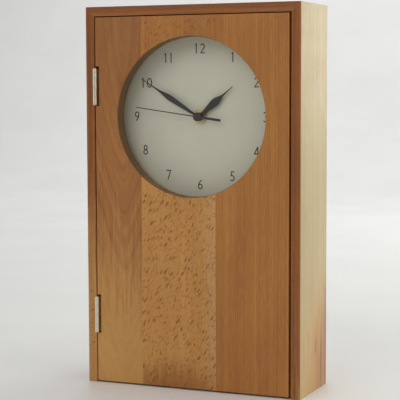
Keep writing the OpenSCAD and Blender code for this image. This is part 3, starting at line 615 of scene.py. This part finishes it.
@finish
def battery_skin(wires, place, tone, steel, low, high):
    """Printed sleeve with a plain band at the positive end, and bare steel at both ends."""
    marks = wires.group(handling_group(), Vector=place, Fineness=3.0)
    along = wires.split(place)[0]
    sleeve_start, sleeve_end, band_start = low / MM + 0.7, high / MM - 1.6, high / MM - 14
    past_sleeve = wires.math("GREATER_THAN", along, sleeve_end)
    bare = past_sleeve + wires.math("LESS_THAN", along, sleeve_start)
    band = wires.math("GREATER_THAN", along, band_start) * wires.math("LESS_THAN", along, sleeve_end)
    colour = wires.blend(marks["Smudges"], tone, scaled(tone, 0.7))
    colour = wires.blend(band * 0.85, colour, screen(206, 204, 196))
    return {
        "Base Color": wires.blend(bare, colour, steel),
        "Metallic": bare * 0.95,
        "Roughness": wires.spread(marks["Scratches"], 0.0, 1.0, 0.28, 0.4),
        "Normal": wires.bump(marks["Scratches"], 0.1, 0.03 * MM),
    }


@finish
def pale_floor(wires, place, tone):
    """Smooth pale backdrop, a little cloudy."""
    cloudy = wires.noise(place, 0.004, 3.0)
    return {
        "Base Color": wires.blend(wires.spread(cloudy, 0.3, 0.7), tone, scaled(tone, 0.96)),
        "Roughness": wires.spread(cloudy, 0.3, 0.7, 0.42, 0.5),
    }


# ---------- Shapes ----------


def merged(node):
    """A CAD node's shape with its triangles joined and its flat faces made whole."""
    shape = bmesh.new()
    shape.from_mesh(NODES[node].data)
    bmesh.ops.remove_doubles(shape, verts=shape.verts, dist=1e-6)
    bmesh.ops.dissolve_limit(shape, angle_limit=math.radians(0.4), verts=shape.verts, edges=shape.edges)
    return shape


def add_object(name, mesh):
    made = bpy.data.objects.new(name, mesh)
    bpy.context.scene.collection.objects.link(made)
    return made


def mesh_of(name, shape, material):
    """Turns a shape into a mesh of one material, and frees the shape."""
    mesh = bpy.data.meshes.new(name)
    shape.to_mesh(mesh)
    shape.free()
    mesh.materials.append(material)
    return mesh


def place_piece(node, mesh, smooth=40.0):
    """Links a mesh as a piece that replaces a CAD node and rides on its body."""
    mesh.shade_smooth()
    mesh.set_sharp_from_angle(angle=math.radians(smooth))
    piece = add_object(node + "_look", mesh)
    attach(piece, BODY_OF[node])
    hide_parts(node)
    NODES[node].data.materials[0].name
    return piece


def soft_copy(node, material, width, angle=50.0):
    """A copy of a CAD node with rounded edges and flat faces."""
    piece = place_piece(node, mesh_of(node + "_look", merged(node), material))
    rounding = piece.modifiers.new("soft_edges", "BEVEL")
    rounding.width = width
    rounding.segments = 2
    rounding.limit_method = "ANGLE"
    rounding.angle_limit = math.radians(angle)
    rounding.miter_outer = "MITER_ARC"
    rounding.harden_normals = True


def soft_copies(nodes, material, width):
    """Copies of several CAD nodes, named with a space between them."""
    for node in nodes.split():
        soft_copy(node, material, width)


def paint(node, material):
    """Gives a CAD node that keeps its own shape a finish."""
    slots = NODES[node].data.materials
    slots.clear()
    slots.append(material)


def islands(node):
    """The lowest and highest corner of each separate solid in a CAD node."""
    shape = merged(node)
    left = set(shape.verts)
    boxes = []
    while left:
        reached = [left.pop()]
        for vertex in reached:
            for edge in vertex.link_edges:
                other = edge.other_vert(vertex)
                if other in left:
                    left.remove(other)
                    reached.append(other)
        places = [vertex.co for vertex in reached]
        low = Vector(min(place[i] for place in places) for i in range(3))
        high = Vector(max(place[i] for place in places) for i in range(3))
        boxes.append((low, high))
    shape.free()
    return sorted(boxes, key=lambda box: tuple(box[0]))


def dial_centre():
    low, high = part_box("dial_plate")
    return Vector(((low.x + high.x) / 2, low.y, (low.z + high.z) / 2))


# ---------- Screws and wire, by geometry nodes ----------


def on_points(wires, given, instance, **turn):
    """Copies on the group's points, as real geometry of the group's material."""
    copies = {"Points": given["Geometry"], "Instance": instance, **turn}
    placed = wires.add("GeometryNodeInstanceOnPoints", copies)[0]
    solid = wires.add("GeometryNodeRealizeInstances", {"Geometry": placed})[0]
    return wires.add("GeometryNodeSetMaterial", {"Geometry": solid, "Material": given["Material"]})[0]


SCREW_INPUTS = {
    "Geometry": "Geometry", "Head Radius": 0.002, "Head Depth": 0.001, "Shank Radius": 0.001, "Length": 0.01,
    "Pitch": 0.0008, "Facing": (0.0, 0.0, 1.0), "Seed": 1, "Material": "Material",
}
HEAD_SIDES = 32
SHANK_SIDES = 16


@shared_tree("clock_screws", SCREW_INPUTS, "Geometry")
def screw_tree(wires, given):
    """Countersunk cross-head screws, one on each point, with every slot turned its own way."""

    def moved(geometry, z, turn=0.0):
        values = {"Geometry": geometry, "Translation": wires.join(0.0, 0.0, z), "Rotation": (0.0, 0.0, turn)}
        return wires.add("GeometryNodeTransform", values)[0]

    def cone(bottom, top, depth, sides=SHANK_SIDES):
        values = {"Vertices": sides, "Radius Bottom": bottom, "Radius Top": top, "Depth": depth}
        return wires.add("GeometryNodeMeshCone", values)["Mesh"]

    radius, depth, pitch, length = (given[name] for name in ("Head Radius", "Head Depth", "Pitch", "Length"))
    core = given["Shank Radius"] * 0.72
    head = moved(cone(core, radius, depth, HEAD_SIDES), depth * -1.0)
    arm = wires.add("GeometryNodeMeshCube", {"Size": wires.join(radius * 1.15, radius * 0.2, depth)})["Mesh"]
    arms = [moved(arm, 0.0, turn) for turn in (0.0, math.pi / 2)]
    cross = wires.add("GeometryNodeJoinGeometry", {0: arms})[0]
    sides = {"Mesh 1": head, "Mesh 2": cross}
    cut = wires.add("GeometryNodeMeshBoolean", sides, operation="DIFFERENCE", solver="EXACT")["Mesh"]
    threaded = length - depth - pitch
    tip = moved(cone(0.2 * MM, core, pitch), length * -1.0)
    stem = moved(cone(core, core, threaded), pitch - length)
    row = {
        "Count": wires.math("FLOOR", threaded / pitch),
        "Start Location": wires.join(0.0, 0.0, pitch - length),
        "Offset": wires.join(0.0, 0.0, pitch),
    }
    turns = {
        "Points": wires.add("GeometryNodeMeshLine", row)[0],
        "Instance": cone(given["Shank Radius"], core, pitch * 0.6),
    }
    thread = wires.add("GeometryNodeInstanceOnPoints", turns)[0]
    whole = wires.add("GeometryNodeJoinGeometry", {0: [cut, tip, stem, thread]})[0]
    upright = wires.add("FunctionNodeAlignRotationToVector", {"Vector": given["Facing"]}, axis="Z")[0]
    chance = wires.add("FunctionNodeRandomValue", {3: math.tau, "Seed": given["Seed"]}, data_type="FLOAT")[1]
    spin = wires.add("FunctionNodeAxisAngleToRotation", {"Axis": (0.0, 0.0, 1.0), "Angle": chance})[0]
    both = {"Rotation": upright, "Rotate By": spin}
    turned = wires.add("FunctionNodeRotateRotation", both, rotation_space="LOCAL")[0]
    return {"Geometry": on_points(wires, given, whole, Rotation=turned)}


WINDING_INPUTS = {"Geometry": "Geometry", "Coil Radius": 0.003, "Wire Radius": 0.0002, "Material": "Material"}


@shared_tree("clock_winding", WINDING_INPUTS, "Geometry")
def winding_tree(wires, given):
    """Turns of wire side by side on a straight core."""
    circle = "GeometryNodeCurvePrimitiveCircle"
    loop = wires.add(circle, {"Resolution": 28, "Radius": given["Coil Radius"]})[0]
    section = wires.add(circle, {"Resolution": 6, "Radius": given["Wire Radius"]})[0]
    ring = wires.add("GeometryNodeCurveToMesh", {"Curve": loop, "Profile Curve": section})[0]
    turned = wires.add("GeometryNodeTransform", {"Geometry": ring, "Rotation": (0.0, math.pi / 2, 0.0)})[0]
    return {"Geometry": on_points(wires, given, turned)}


def grow(name, tree, points, values):
    """Runs a geometry-nodes tree on points and returns the plain mesh it makes."""
    start = bpy.data.meshes.new(name + "_points")
    start.from_pydata(points, [], [])
    seed = add_object(name + "_points", start)
    maker = seed.modifiers.new("maker", "NODES")
    maker.node_group = tree
    for socket in tree.interface.items_tree:
        if socket.in_out == "INPUT" and socket.name in values:
            maker[socket.identifier] = values[socket.name]
    graph = bpy.context.evaluated_depsgraph_get()
    mesh = bpy.data.meshes.new_from_object(seed.evaluated_get(graph))
    mesh.name = name
    bpy.data.objects.remove(seed)
    return mesh


def drive_screws(node, facing, head_depth, material):
    """Replaces a node of CAD screws; facing points from the shank out through the head."""
    facing = Vector(facing)
    axis = max(range(3), key=lambda i: abs(facing[i]))
    side = (axis + 1) % 3
    heads = []
    for low, high in islands(node):
        place = (low + high) / 2
        place[axis] = high[axis] if facing[axis] > 0 else low[axis]
        heads.append(place)
        length = high[axis] - low[axis]
        head_radius = (high[side] - low[side]) / 2
    values = {
        "Head Radius": head_radius,
        "Head Depth": head_depth,
        "Shank Radius": head_radius * 0.55,
        "Length": length,
        "Pitch": bpy.context.scene.clock_metal.thread_pitch,
        "Facing": facing,
        "Seed": bpy.context.scene.clock_metal.seed,
        "Material": material,
    }
    place_piece(node, grow(node + "_look", screw_tree(), heads, values), 35.0)


# ---------- Printed numbers ----------


def bow(x, z, across, up, start, end):
    """Points along part of an ellipse, from one angle to another in degrees."""
    steps = max(6, int(abs(end - start) / 9))
    angles = [math.radians(start + (end - start) * i / steps) for i in range(steps + 1)]
    return [(x + across * math.cos(angle), z + up * math.sin(angle)) for angle in angles]


def curl(first, pull, last, steps=12):
    """Points along a curve that starts towards pull."""
    points = []
    for i in range(steps + 1):
        t = i / steps
        parts = zip(first, pull, last)
        points.append(tuple((1 - t) ** 2 * a + 2 * t * (1 - t) * b + t * t * c for a, b, c in parts))
    return points


# Each digit's width and its strokes, in units of the numbers' height
SIX = [bow(0.265, 0.29, 0.2, 0.2375, 0, 360), curl((0.41, 0.95), (0.1, 0.74), (0.065, 0.31))]
DIGITS = {
    "0": (0.6, [bow(0.3, 0.5, 0.235, 0.4475, 0, 360)]),
    "1": (0.26, [[(0.17, 0.0), (0.17, 1.0)], [(0.04, 0.86), (0.16, 0.93)]]),
    "2": (0.54, [bow(0.25, 0.7, 0.195, 0.2475, 160, -28) + [(0.07, 0.0525), (0.52, 0.0525)]]),
    "3": (0.5, [bow(0.21, 0.735, 0.19, 0.2125, 145, -90) + bow(0.21, 0.2875, 0.225, 0.235, 90, -145)]),
    "4": (0.58, [[(0.4, 0.94), (0.05, 0.27), (0.57, 0.27)], [(0.41, 0.0), (0.41, 1.0)]]),
    "5": (0.5, [[(0.44, 0.9475), (0.13, 0.9475), (0.1, 0.555)] + bow(0.19, 0.31, 0.235, 0.2575, 105, -135)]),
    "6": (0.53, SIX),
    "7": (0.54, [[(0.02, 0.9475), (0.49, 0.9475), (0.2, 0.0)]]),
    "8": (0.53, [bow(0.265, 0.735, 0.165, 0.2125, 0, 360), bow(0.265, 0.2775, 0.205, 0.225, 0, 360)]),
    "9": (0.53, [[(0.53 - x, 1.0 - z) for x, z in path] for path in SIX]),
}
DIGIT_GAP = 0.34
TEN_INWARDS = 2.2 * MM  # the 10 stands nearer the middle than its neighbours
LAYER_STEP = 0.003 * MM  # strokes that cross lie this far apart
INK_BACK = 0.1 * MM  # how deep the print reaches into the dial


def edges_of_stroke(path, half):
    """The two sides of a stroke of that half width along a path."""
    closed = math.dist(path[0], path[-1]) < 1e-6
    points = [Vector(point) for point in path]
    if closed:
        points.pop()
    left, right = [], []
    for i, point in enumerate(points):
        before = points[i - 1] if i or closed else None
        after = points[(i + 1) % len(points)] if i < len(points) - 1 or closed else None
        arriving = (point - before).normalized() if before else (after - point).normalized()
        leaving = (after - point).normalized() if after else arriving
        side = Vector((-arriving.y - leaving.y, arriving.x + leaving.x)).normalized()
        straight = Vector((-arriving.y, arriving.x))
        reach = half / max(0.55, side.dot(straight))
        left.append(point + side * reach)
        right.append(point - side * reach)
    return left, right, closed


def add_stroke(shape, path, half, put, front, back):
    """Adds a stroke as a thin solid; put turns a number's own place into one on the dial."""
    left, right, closed = edges_of_stroke(path, half)
    rings = []
    for a, b in zip(left, right):
        corners = [put(a, front), put(b, front), put(b, back), put(a, back)]
        rings.append([shape.verts.new(corner) for corner in corners])
    pairs = list(zip(rings, rings[1:]))
    if closed:
        pairs.append((rings[-1], rings[0]))
    for first, second in pairs:
        for i in range(4):
            shape.faces.new((first[i], first[(i + 1) % 4], second[(i + 1) % 4], second[i]))
    if not closed:
        shape.faces.new(rings[0])
        shape.faces.new(rings[-1])


def number_shape(settings):
    """All twelve numbers, upright, round the dial."""
    centre = dial_centre()
    shape = bmesh.new()
    half = settings.stroke / settings.number_height / 2
    layer = 0
    for number in range(1, 13):
        text = str(number)
        turn = math.tau * number / 12
        width = sum(DIGITS[digit][0] for digit in text) + DIGIT_GAP * (len(text) - 1)
        ring_width = settings.ring_width - (TEN_INWARDS if number == 10 else 0.0)
        middle_x = centre.x + ring_width * math.sin(turn)
        middle_z = centre.z + settings.ring_height * math.cos(turn)
        start = -width / 2

        def put(point, y):
            x = middle_x + (start + point.x) * settings.number_height
            return (x, y, middle_z + (point.y - 0.5) * settings.number_height)

        for digit in text:
            digit_width, paths = DIGITS[digit]
            for path in paths:
                layer += 1
                front = centre.y - settings.ink_depth - (layer % 3) * LAYER_STEP
                add_stroke(shape, path, half, put, front, centre.y + INK_BACK)
            start += digit_width + DIGIT_GAP
    bmesh.ops.recalc_face_normals(shape, faces=shape.faces)
    return shape


# ---------- Turned shapes ----------


def lathe(profile, centre, axis, sides=48):
    """Turns a profile of (along, radius) points about an axis through centre; the ends are closed."""
    shape = bmesh.new()
    first = (axis + 1) % 3
    second = (axis + 2) % 3
    rings = []
    for along, radius in profile:
        ring = []
        for i in range(sides if radius > 1e-7 else 1):
            angle = math.tau * i / sides
            place = Vector(centre)
            place[axis] = along
            place[first] += radius * math.cos(angle)
            place[second] += radius * math.sin(angle)
            ring.append(shape.verts.new(place))
        rings.append(ring)
    for one, two in zip(rings, rings[1:]):
        for i in range(sides):
            j = (i + 1) % sides
            corners = [one[i % len(one)], one[j % len(one)], two[j % len(two)], two[i % len(two)]]
            shape.faces.new(list(dict.fromkeys(corners)))
    bmesh.ops.recalc_face_normals(shape, faces=shape.faces)
    return shape


# ---------- Operators ----------

CAMERA_SENSOR = 36.0
CAMERA_REACH = 50.0
FLOOR_FRONT = -16.0
FLOOR_SIDE = 12.0
FLOOR_BEND = 2.2  # where the floor begins to rise
FLOOR_CURVE = 1.4  # radius of the rise
FLOOR_TOP = 6.0
FLOOR_DROP = 0.2 * MM
LAMP_AIM = (0.0, 0.0, 0.2)
WALL_AIM = (-0.9, 3.6, 0.9)
DAYLIGHT = (0.93, 0.94, 0.96, 1.0)


class CLOCK_OT_stage(bpy.types.Operator):
    """Set the camera, the pale floor and the soft lamps"""

    bl_idname = "clock.stage"
    bl_label = "Stage"

    def execute(self, context):
        settings = context.scene.clock_stage
        context.scene.camera = self.place_camera(settings)
        self.lay_floor(settings)
        self.hang_lamps(settings)
        world = bpy.data.worlds.new("room")
        world.use_nodes = True
        sky = world.node_tree.nodes["Background"]
        sky.inputs["Color"].default_value = DAYLIGHT
        sky.inputs["Strength"].default_value = settings.sky
        context.scene.world = world
        context.scene.view_settings.view_transform = "Standard"
        return {"FINISHED"}

    def place_camera(self, settings):
        camera = bpy.data.cameras.new("camera")
        camera.lens = settings.lens
        camera.sensor_width = CAMERA_SENSOR
        camera.clip_end = CAMERA_REACH
        seat = add_object("camera", camera)
        seat.location = settings.eye
        level = Euler((math.pi / 2 - settings.tilt, 0.0, settings.turn)).to_matrix()
        rolled = level @ Euler((0.0, 0.0, settings.roll)).to_matrix()
        seat.rotation_euler = rolled.to_euler()
        return seat

    def lay_floor(self, settings):
        profile = [(FLOOR_FRONT, 0.0), (FLOOR_BEND, 0.0)]
        for i in range(1, 13):
            angle = math.pi / 2 * i / 12
            rise = FLOOR_CURVE - FLOOR_CURVE * math.cos(angle)
            profile.append((FLOOR_BEND + FLOOR_CURVE * math.sin(angle), rise))
        profile.append((FLOOR_BEND + FLOOR_CURVE, FLOOR_TOP))
        shape = bmesh.new()
        rows = []
        for y, z in profile:
            rows.append([shape.verts.new((x, y, z - FLOOR_DROP)) for x in (-FLOOR_SIDE, FLOOR_SIDE)])
        for near, far in zip(rows, rows[1:]):
            shape.faces.new((near[0], near[1], far[1], far[0]))
        mesh = mesh_of("floor", shape, pale_floor("pale_floor", settings.floor))
        mesh.shade_smooth()
        add_object("floor", mesh)

    def hang_lamps(self, settings):
        # Name, place, size, power, tint and aim
        lamps = [
            ("window_lamp", (1.0, 1.9, 1.0), (1.5, 1.6), settings.key_power, (0.97, 1.0, 0.95), LAMP_AIM),
            ("fill_lamp", (-0.6, -2.1, 1.7), (1.6, 1.4), settings.fill_power, (1.0, 0.98, 0.93), LAMP_AIM),
            ("side_lamp", (2.1, -0.1, 0.8), (1.2, 1.4), settings.side_power, (1.0, 0.97, 0.88), LAMP_AIM),
            ("left_lamp", (-1.7, -0.9, 0.35), (0.8, 0.6), settings.left_power, (1.0, 0.95, 0.84), LAMP_AIM),
            ("top_lamp", (0.0, 0.0, 2.4), (1.8, 1.8), settings.top_power, (1.0, 1.0, 1.0), LAMP_AIM),
            ("wall_lamp", (-0.9, 1.9, 2.6), (2.0, 0.6), settings.wall_power, (1.0, 1.0, 1.0), WALL_AIM),
        ]
        for name, place, size, power, tint, aim in lamps:
            lamp = bpy.data.lights.new(name, "AREA")
            lamp.shape = "RECTANGLE"
            lamp.size, lamp.size_y = size
            lamp.energy = power
            lamp.color = tint
            holder = add_object(name, lamp)
            holder.location = place
            holder.rotation_euler = (Vector(aim) - Vector(place)).to_track_quat("-Z", "Y").to_euler()


class CLOCK_OT_case(bpy.types.Operator):
    """Build the mitred case: sides, top, bottom, shelf and battens"""

    bl_idname = "clock.case"
    bl_label = "Case"

    def execute(self, context):
        width = context.scene.clock_wood.softness
        low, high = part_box("right_side")
        heart = -260.0
        # The sheen range begins just past the corner where the right side's front edge meets its face, so the
        # face turns pale and the edge stays brown: the pale face is painted sheen
        corner = (low.y + GRAIN_TILT * high.x) / MM - heart
        speckled = {"contrast": 0.8, "flecks": 0.2, "fleck_size": 0.5}
        left = wood(
            "left_side_wood", "frame", "Z", "Y", heart=heart, **speckled,
            # This golden patch lightens the lower front of the left side: painted light, as from a low lamp
            # on the left
            patches=[(low.y / MM, 20.0, 60.0, 170.0, "golden_pale", 0.75)],
        )
        right = wood(
            "right_side_wood", "frame", "Z", "Y", heart=heart, wander=0.6, contrast=0.8,
            sap=(corner + 0.3, corner + 1.8), knot=(8.0, 46.0, 4.0),
            patches=[
                # The two golden patches bring the side back to a darker tone low down at the rear, where less
                # light falls: painted shade over the painted sheen. The two thin brown_deep patches are
                # streaks of the wood.
                (44.0, 0.0, 80.0, 120.0, "golden_pale", 0.9),
                (46.0, 0.0, 44.0, 100.0, "golden_deep", 0.9),
                (24.0, 20.0, 3.0, 40.0, "brown_deep", 0.8),
                (40.0, 40.0, 4.0, 70.0, "brown_deep", 0.8),
            ],
        )
        level = wood("level_wood", "frame", "X", "Y", heart=240.0, **speckled)
        batten = wood("batten_wood", "golden", "Z", "X", heart=300.0, contrast=0.7)
        soft_copy("left_side", left, width * 0.5)
        soft_copy("right_side", right, width * 0.5)
        soft_copies("top_panel bottom_panel shelf", level, width * 0.5)
        soft_copies("left_batten right_batten", batten, width)
        return {"FINISHED"}


class CLOCK_OT_door(bpy.types.Operator):
    """Build the door of glued staves with its round window"""

    bl_idname = "clock.door"
    bl_label = "Door"

    def execute(self, context):
        width = context.scene.clock_wood.softness
        low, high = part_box("door_board_left")
        heart = (low.x + (high.x - low.x) * 0.62) / MM
        staves = {
            "left": ("brown", {
                "heart": heart, "tip": 7.0, "rise": -0.33, "crown": 330.0, "wander": 4.0, "rings": 3.0,
                "lines": 0.2, "contrast": 0.8,
                "patches": [
                    # The broad golden_pale patch low on the stave is painted light, as from a low lamp on the
                    # left
                    (-95.0, -20.0, 120.0, 170.0, "golden_pale", 0.9),
                    (-86.0, 350.0, 6.0, 70.0, "golden_pale", 0.2),
                    (-68.0, 345.0, 6.0, 80.0, "golden_pale", 0.15),
                    (-76.0, 380.0, 60.0, 110.0, "brown_deep", 0.4),
                ],
            }),
            "lower": ("golden", {
                "heart": 180.0, "contrast": 0.3, "flecks": 0.75, "slant": 0.45,
                "patches": [
                    (27.0, 100.0, 11.0, 260.0, "ply_face", 0.25),
                    (-20.0, -6.0, 60.0, 34.0, "russet_deep", 0.75),
                ],
            }),
            "upper": ("russet", {
                "heart": 180.0, "contrast": 0.4, "flecks": 0.6, "slant": 0.5, "fleck_size": 0.85,
            }),
            "right": ("russet", {"heart": -330.0, "wander": 2.0, "contrast": 0.6}),
        }
        for place, (tones, figure) in staves.items():
            finish_of_stave = wood(place + "_stave_wood", tones, "Z", "X", well=self.window(), **figure)
            soft_copy("door_board_" + place, finish_of_stave, width * 0.35)
        return {"FINISHED"}

    def window(self):
        """Across, along and radius of the window, from the corner of the board below it."""
        centre = dial_centre()
        low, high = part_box("door_board_lower")
        radius = math.hypot(low.x - centre.x, high.z - centre.z)
        return centre.x / MM, centre.z / MM, radius / MM


class CLOCK_OT_boards(bpy.types.Operator):
    """Build the plywood back and the board behind the dial"""

    bl_idname = "clock.boards"
    bl_label = "Plywood Boards"

    def execute(self, context):
        for node, along, across in (("back_panel", "Z", "X"), ("dial_board", "X", "Z")):
            low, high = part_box(node)
            layers = plywood(node + "_plywood", (low.y / MM, high.y / MM), along, across)
            soft_copy(node, layers, 0.15 * MM)
        return {"FINISHED"}


class CLOCK_OT_dial(bpy.types.Operator):
    """Build the dial and print its numbers"""

    bl_idname = "clock.dial"
    bl_label = "Dial"

    def execute(self, context):
        settings = context.scene.clock_dial
        soft_copy("dial_plate", dial_enamel("dial_enamel", settings.enamel, dial_centre()), 0.15 * MM)
        ink = printed_ink("printed_ink", settings.ink)
        numbers = add_object("dial_numbers", mesh_of("dial_numbers", number_shape(settings), ink))
        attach(numbers, BODY_OF["dial_plate"])
        return {"FINISHED"}


EVEN = (1.0, 1.0, 1.0)  # scratches that run every way
METALS = {"nickel": (0.3, (1.0, 1.0, 0.08)), "brass": (0.4, EVEN), "steel": (0.32,)}  # roughness, stretch


def clock_metal(name):
    """One of the clock's metals, the same in every step that uses it."""
    return metal(name, getattr(bpy.context.scene.clock_metal, name), *METALS[name])


class CLOCK_OT_hands(bpy.types.Operator):
    """Build the hands, the nut and the washers at the dial's centre"""

    bl_idname = "clock.hands"
    bl_label = "Hands"

    def execute(self, context):
        enamel = plastic("hand_enamel", context.scene.clock_dial.hand, 0.42, 1.6, 0.12)
        rubber = plastic("rubber", screen(30, 30, 30), 0.7, 3.0, 0.4)
        soft_copies("hour_hand minute_hand second_hand", enamel, 0.12 * MM)
        soft_copy("brass_washer", clock_metal("brass"), 0.08 * MM)
        soft_copy("bush_nut", clock_metal("brass"), 0.15 * MM)
        soft_copy("rubber_washer", rubber, 0.15 * MM)
        return {"FINISHED"}


class CLOCK_OT_hinges(bpy.types.Operator):
    """Build the two butt hinges of the door"""

    bl_idname = "clock.hinges"
    bl_label = "Hinges"

    def execute(self, context):
        for node in sorted(NODES):
            if "hinge" in node and "screws" not in node:
                soft_copy(node, clock_metal("nickel"), 0.12 * MM, 40.0)
        return {"FINISHED"}


class CLOCK_OT_screws(bpy.types.Operator):
    """Drive every screw of the case, the hinges and the catch"""

    bl_idname = "clock.screws"
    bl_label = "Screws"

    def execute(self, context):
        brass = metal("screw_brass", context.scene.clock_metal.brass, 0.34, EVEN, 0.5)
        drive_screws("back_screws", (0, 1, 0), 1.0 * MM, brass)
        drive_screws("dial_board_screws", (0, -1, 0), 1.6 * MM, clock_metal("steel"))
        drive_screws("hinge_case_screws", (1, 0, 0), 1.0 * MM, clock_metal("nickel"))
        drive_screws("hinge_door_screws", (-1, 0, 0), 1.0 * MM, clock_metal("nickel"))
        drive_screws("strike_screw", (0, 1, 0), 0.8 * MM, clock_metal("steel"))
        return {"FINISHED"}


class CLOCK_OT_catch(bpy.types.Operator):
    """Build the magnetic catch and its strike plate"""

    bl_idname = "clock.catch"
    bl_label = "Catch"

    def execute(self, context):
        soft_copies("catch_magnet strike_plate", clock_metal("steel"), 0.2 * MM)
        return {"FINISHED"}


class CLOCK_OT_movement(bpy.types.Operator):
    """Build the movement's shells, knob, wheels and motor"""

    bl_idname = "clock.movement"
    bl_label = "Movement"

    def execute(self, context):
        tones = context.scene.clock_metal
        black = plastic("black_plastic", tones.black_plastic, 0.45)
        pale = plastic("pale_plastic", tones.pale_plastic, 0.38, 2.6, 0.12)
        steel = clock_metal("steel")
        soft_copies("movement_front_case movement_rear_cover", black, 0.25 * MM)
        soft_copies("setting_knob train_plate coil_bobbin", pale, 0.12 * MM)
        soft_copies("stator positive_contact negative_contact timing_crystal", steel, 0.06 * MM)
        for wheel in ("seconds", "intermediate", "third", "centre", "minute", "hour"):
            paint(wheel + "_wheel", pale)
        paint("rotor", steel)
        paint("cannon_pinion", clock_metal("brass"))
        return {"FINISHED"}


WIRE_RADIUS = 0.18 * MM
TERMINAL_HEIGHT = 1.0 * MM
TERMINAL_RADIUS = 2.7 * MM


class CLOCK_OT_electrics(bpy.types.Operator):
    """Build the coil's winding, the circuit board with its chip, and the battery"""

    bl_idname = "clock.electrics"
    bl_label = "Coil, Circuit and Battery"

    def execute(self, context):
        tones = context.scene.clock_metal
        self.wind_coil(tones)
        soft_copy("circuit_board", circuit_lacquer("circuit_lacquer", tones.board_green), 0.1 * MM)
        soft_copy("chip", plastic("chip_resin", screen(22, 22, 24), 0.3, 2.0, 0.2), 0.3 * MM)
        self.turn_battery(tones)
        return {"FINISHED"}

    def wind_coil(self, tones):
        low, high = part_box("coil_winding")
        turns = int((high.x - low.x) / (2 * WIRE_RADIUS))
        step = (high.x - low.x - 2 * WIRE_RADIUS) / (turns - 1)
        y, z = (low.y + high.y) / 2, (low.z + high.z) / 2
        points = [(low.x + WIRE_RADIUS + step * i, y, z) for i in range(turns)]
        values = {
            "Coil Radius": (high.z - low.z) / 2 - WIRE_RADIUS,
            "Wire Radius": WIRE_RADIUS,
            "Material": coil_copper("coil_copper", tones.copper),
        }
        place_piece("coil_winding", grow("coil_turns", winding_tree(), points, values), 60.0)

    def turn_battery(self, tones):
        low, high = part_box("battery")
        end = high.x - TERMINAL_HEIGHT
        # From the flat end to the terminal: a start, millimetres past it, and the share of the radius
        steps = [
            (low.x, 0.0, 0.0), (low.x, 0.0, 0.72), (low.x, 0.3, 0.76), (low.x, 0.1, 0.84), (low.x, 0.1, 0.93),
            (low.x, 0.5, 1.0), (end, -1.2, 1.0), (end, -0.9, 0.97), (end, -0.6, 1.0), (end, -0.3, 0.98),
            (end, 0.0, 0.9), (end, 0.0, 0.6), (end, -0.3, 0.56),
        ]
        radius = (high.z - low.z) / 2
        profile = [(start + past * MM, radius * share) for start, past, share in steps]
        profile += [
            (end - 0.3 * MM, TERMINAL_RADIUS), (high.x - 0.3 * MM, TERMINAL_RADIUS),
            (high.x, TERMINAL_RADIUS - 0.3 * MM), (high.x, 0.0),
        ]
        skin = battery_skin("battery_skin", tones.battery, tones.steel, low.x, high.x)
        shape = lathe(profile, (low + high) / 2, 0)
        place_piece("battery", mesh_of("battery_look", shape, skin), 35.0)


STEPS = (
    CLOCK_OT_stage,
    CLOCK_OT_case,
    CLOCK_OT_door,
    CLOCK_OT_boards,
    CLOCK_OT_dial,
    CLOCK_OT_hands,
    CLOCK_OT_hinges,
    CLOCK_OT_screws,
    CLOCK_OT_catch,
    CLOCK_OT_movement,
    CLOCK_OT_electrics,
)


class CLOCK_PT_steps(bpy.types.Panel):
    """Lists the clock's pieces"""

    bl_label = "Mantel Clock"
    bl_idname = "CLOCK_PT_steps"
    bl_space_type = "VIEW_3D"
    bl_region_type = "UI"
    bl_category = "Mantel Clock"

    def draw(self, context):
        for step in STEPS:
            self.layout.operator(step.bl_idname)


SETTINGS = {
    "clock_wood": ClockWoodSettings,
    "clock_dial": ClockDialSettings,
    "clock_metal": ClockMetalSettings,
    "clock_stage": ClockStageSettings,
}


def register():
    for name, group in SETTINGS.items():
        bpy.utils.register_class(group)
        setattr(bpy.types.Scene, name, PointerProperty(type=group))
    for step in STEPS:
        bpy.utils.register_class(step)
    bpy.utils.register_class(CLOCK_PT_steps)


def unregister():
    bpy.utils.unregister_class(CLOCK_PT_steps)
    for step in reversed(STEPS):
        bpy.utils.unregister_class(step)
    for name, group in SETTINGS.items():
        delattr(bpy.types.Scene, name)
        bpy.utils.unregister_class(group)


def main():
    register()
    for step in STEPS:
        group, name = step.bl_idname.split(".")
        getattr(getattr(bpy.ops, group), name)()


if __name__ == "__main__":
    main()
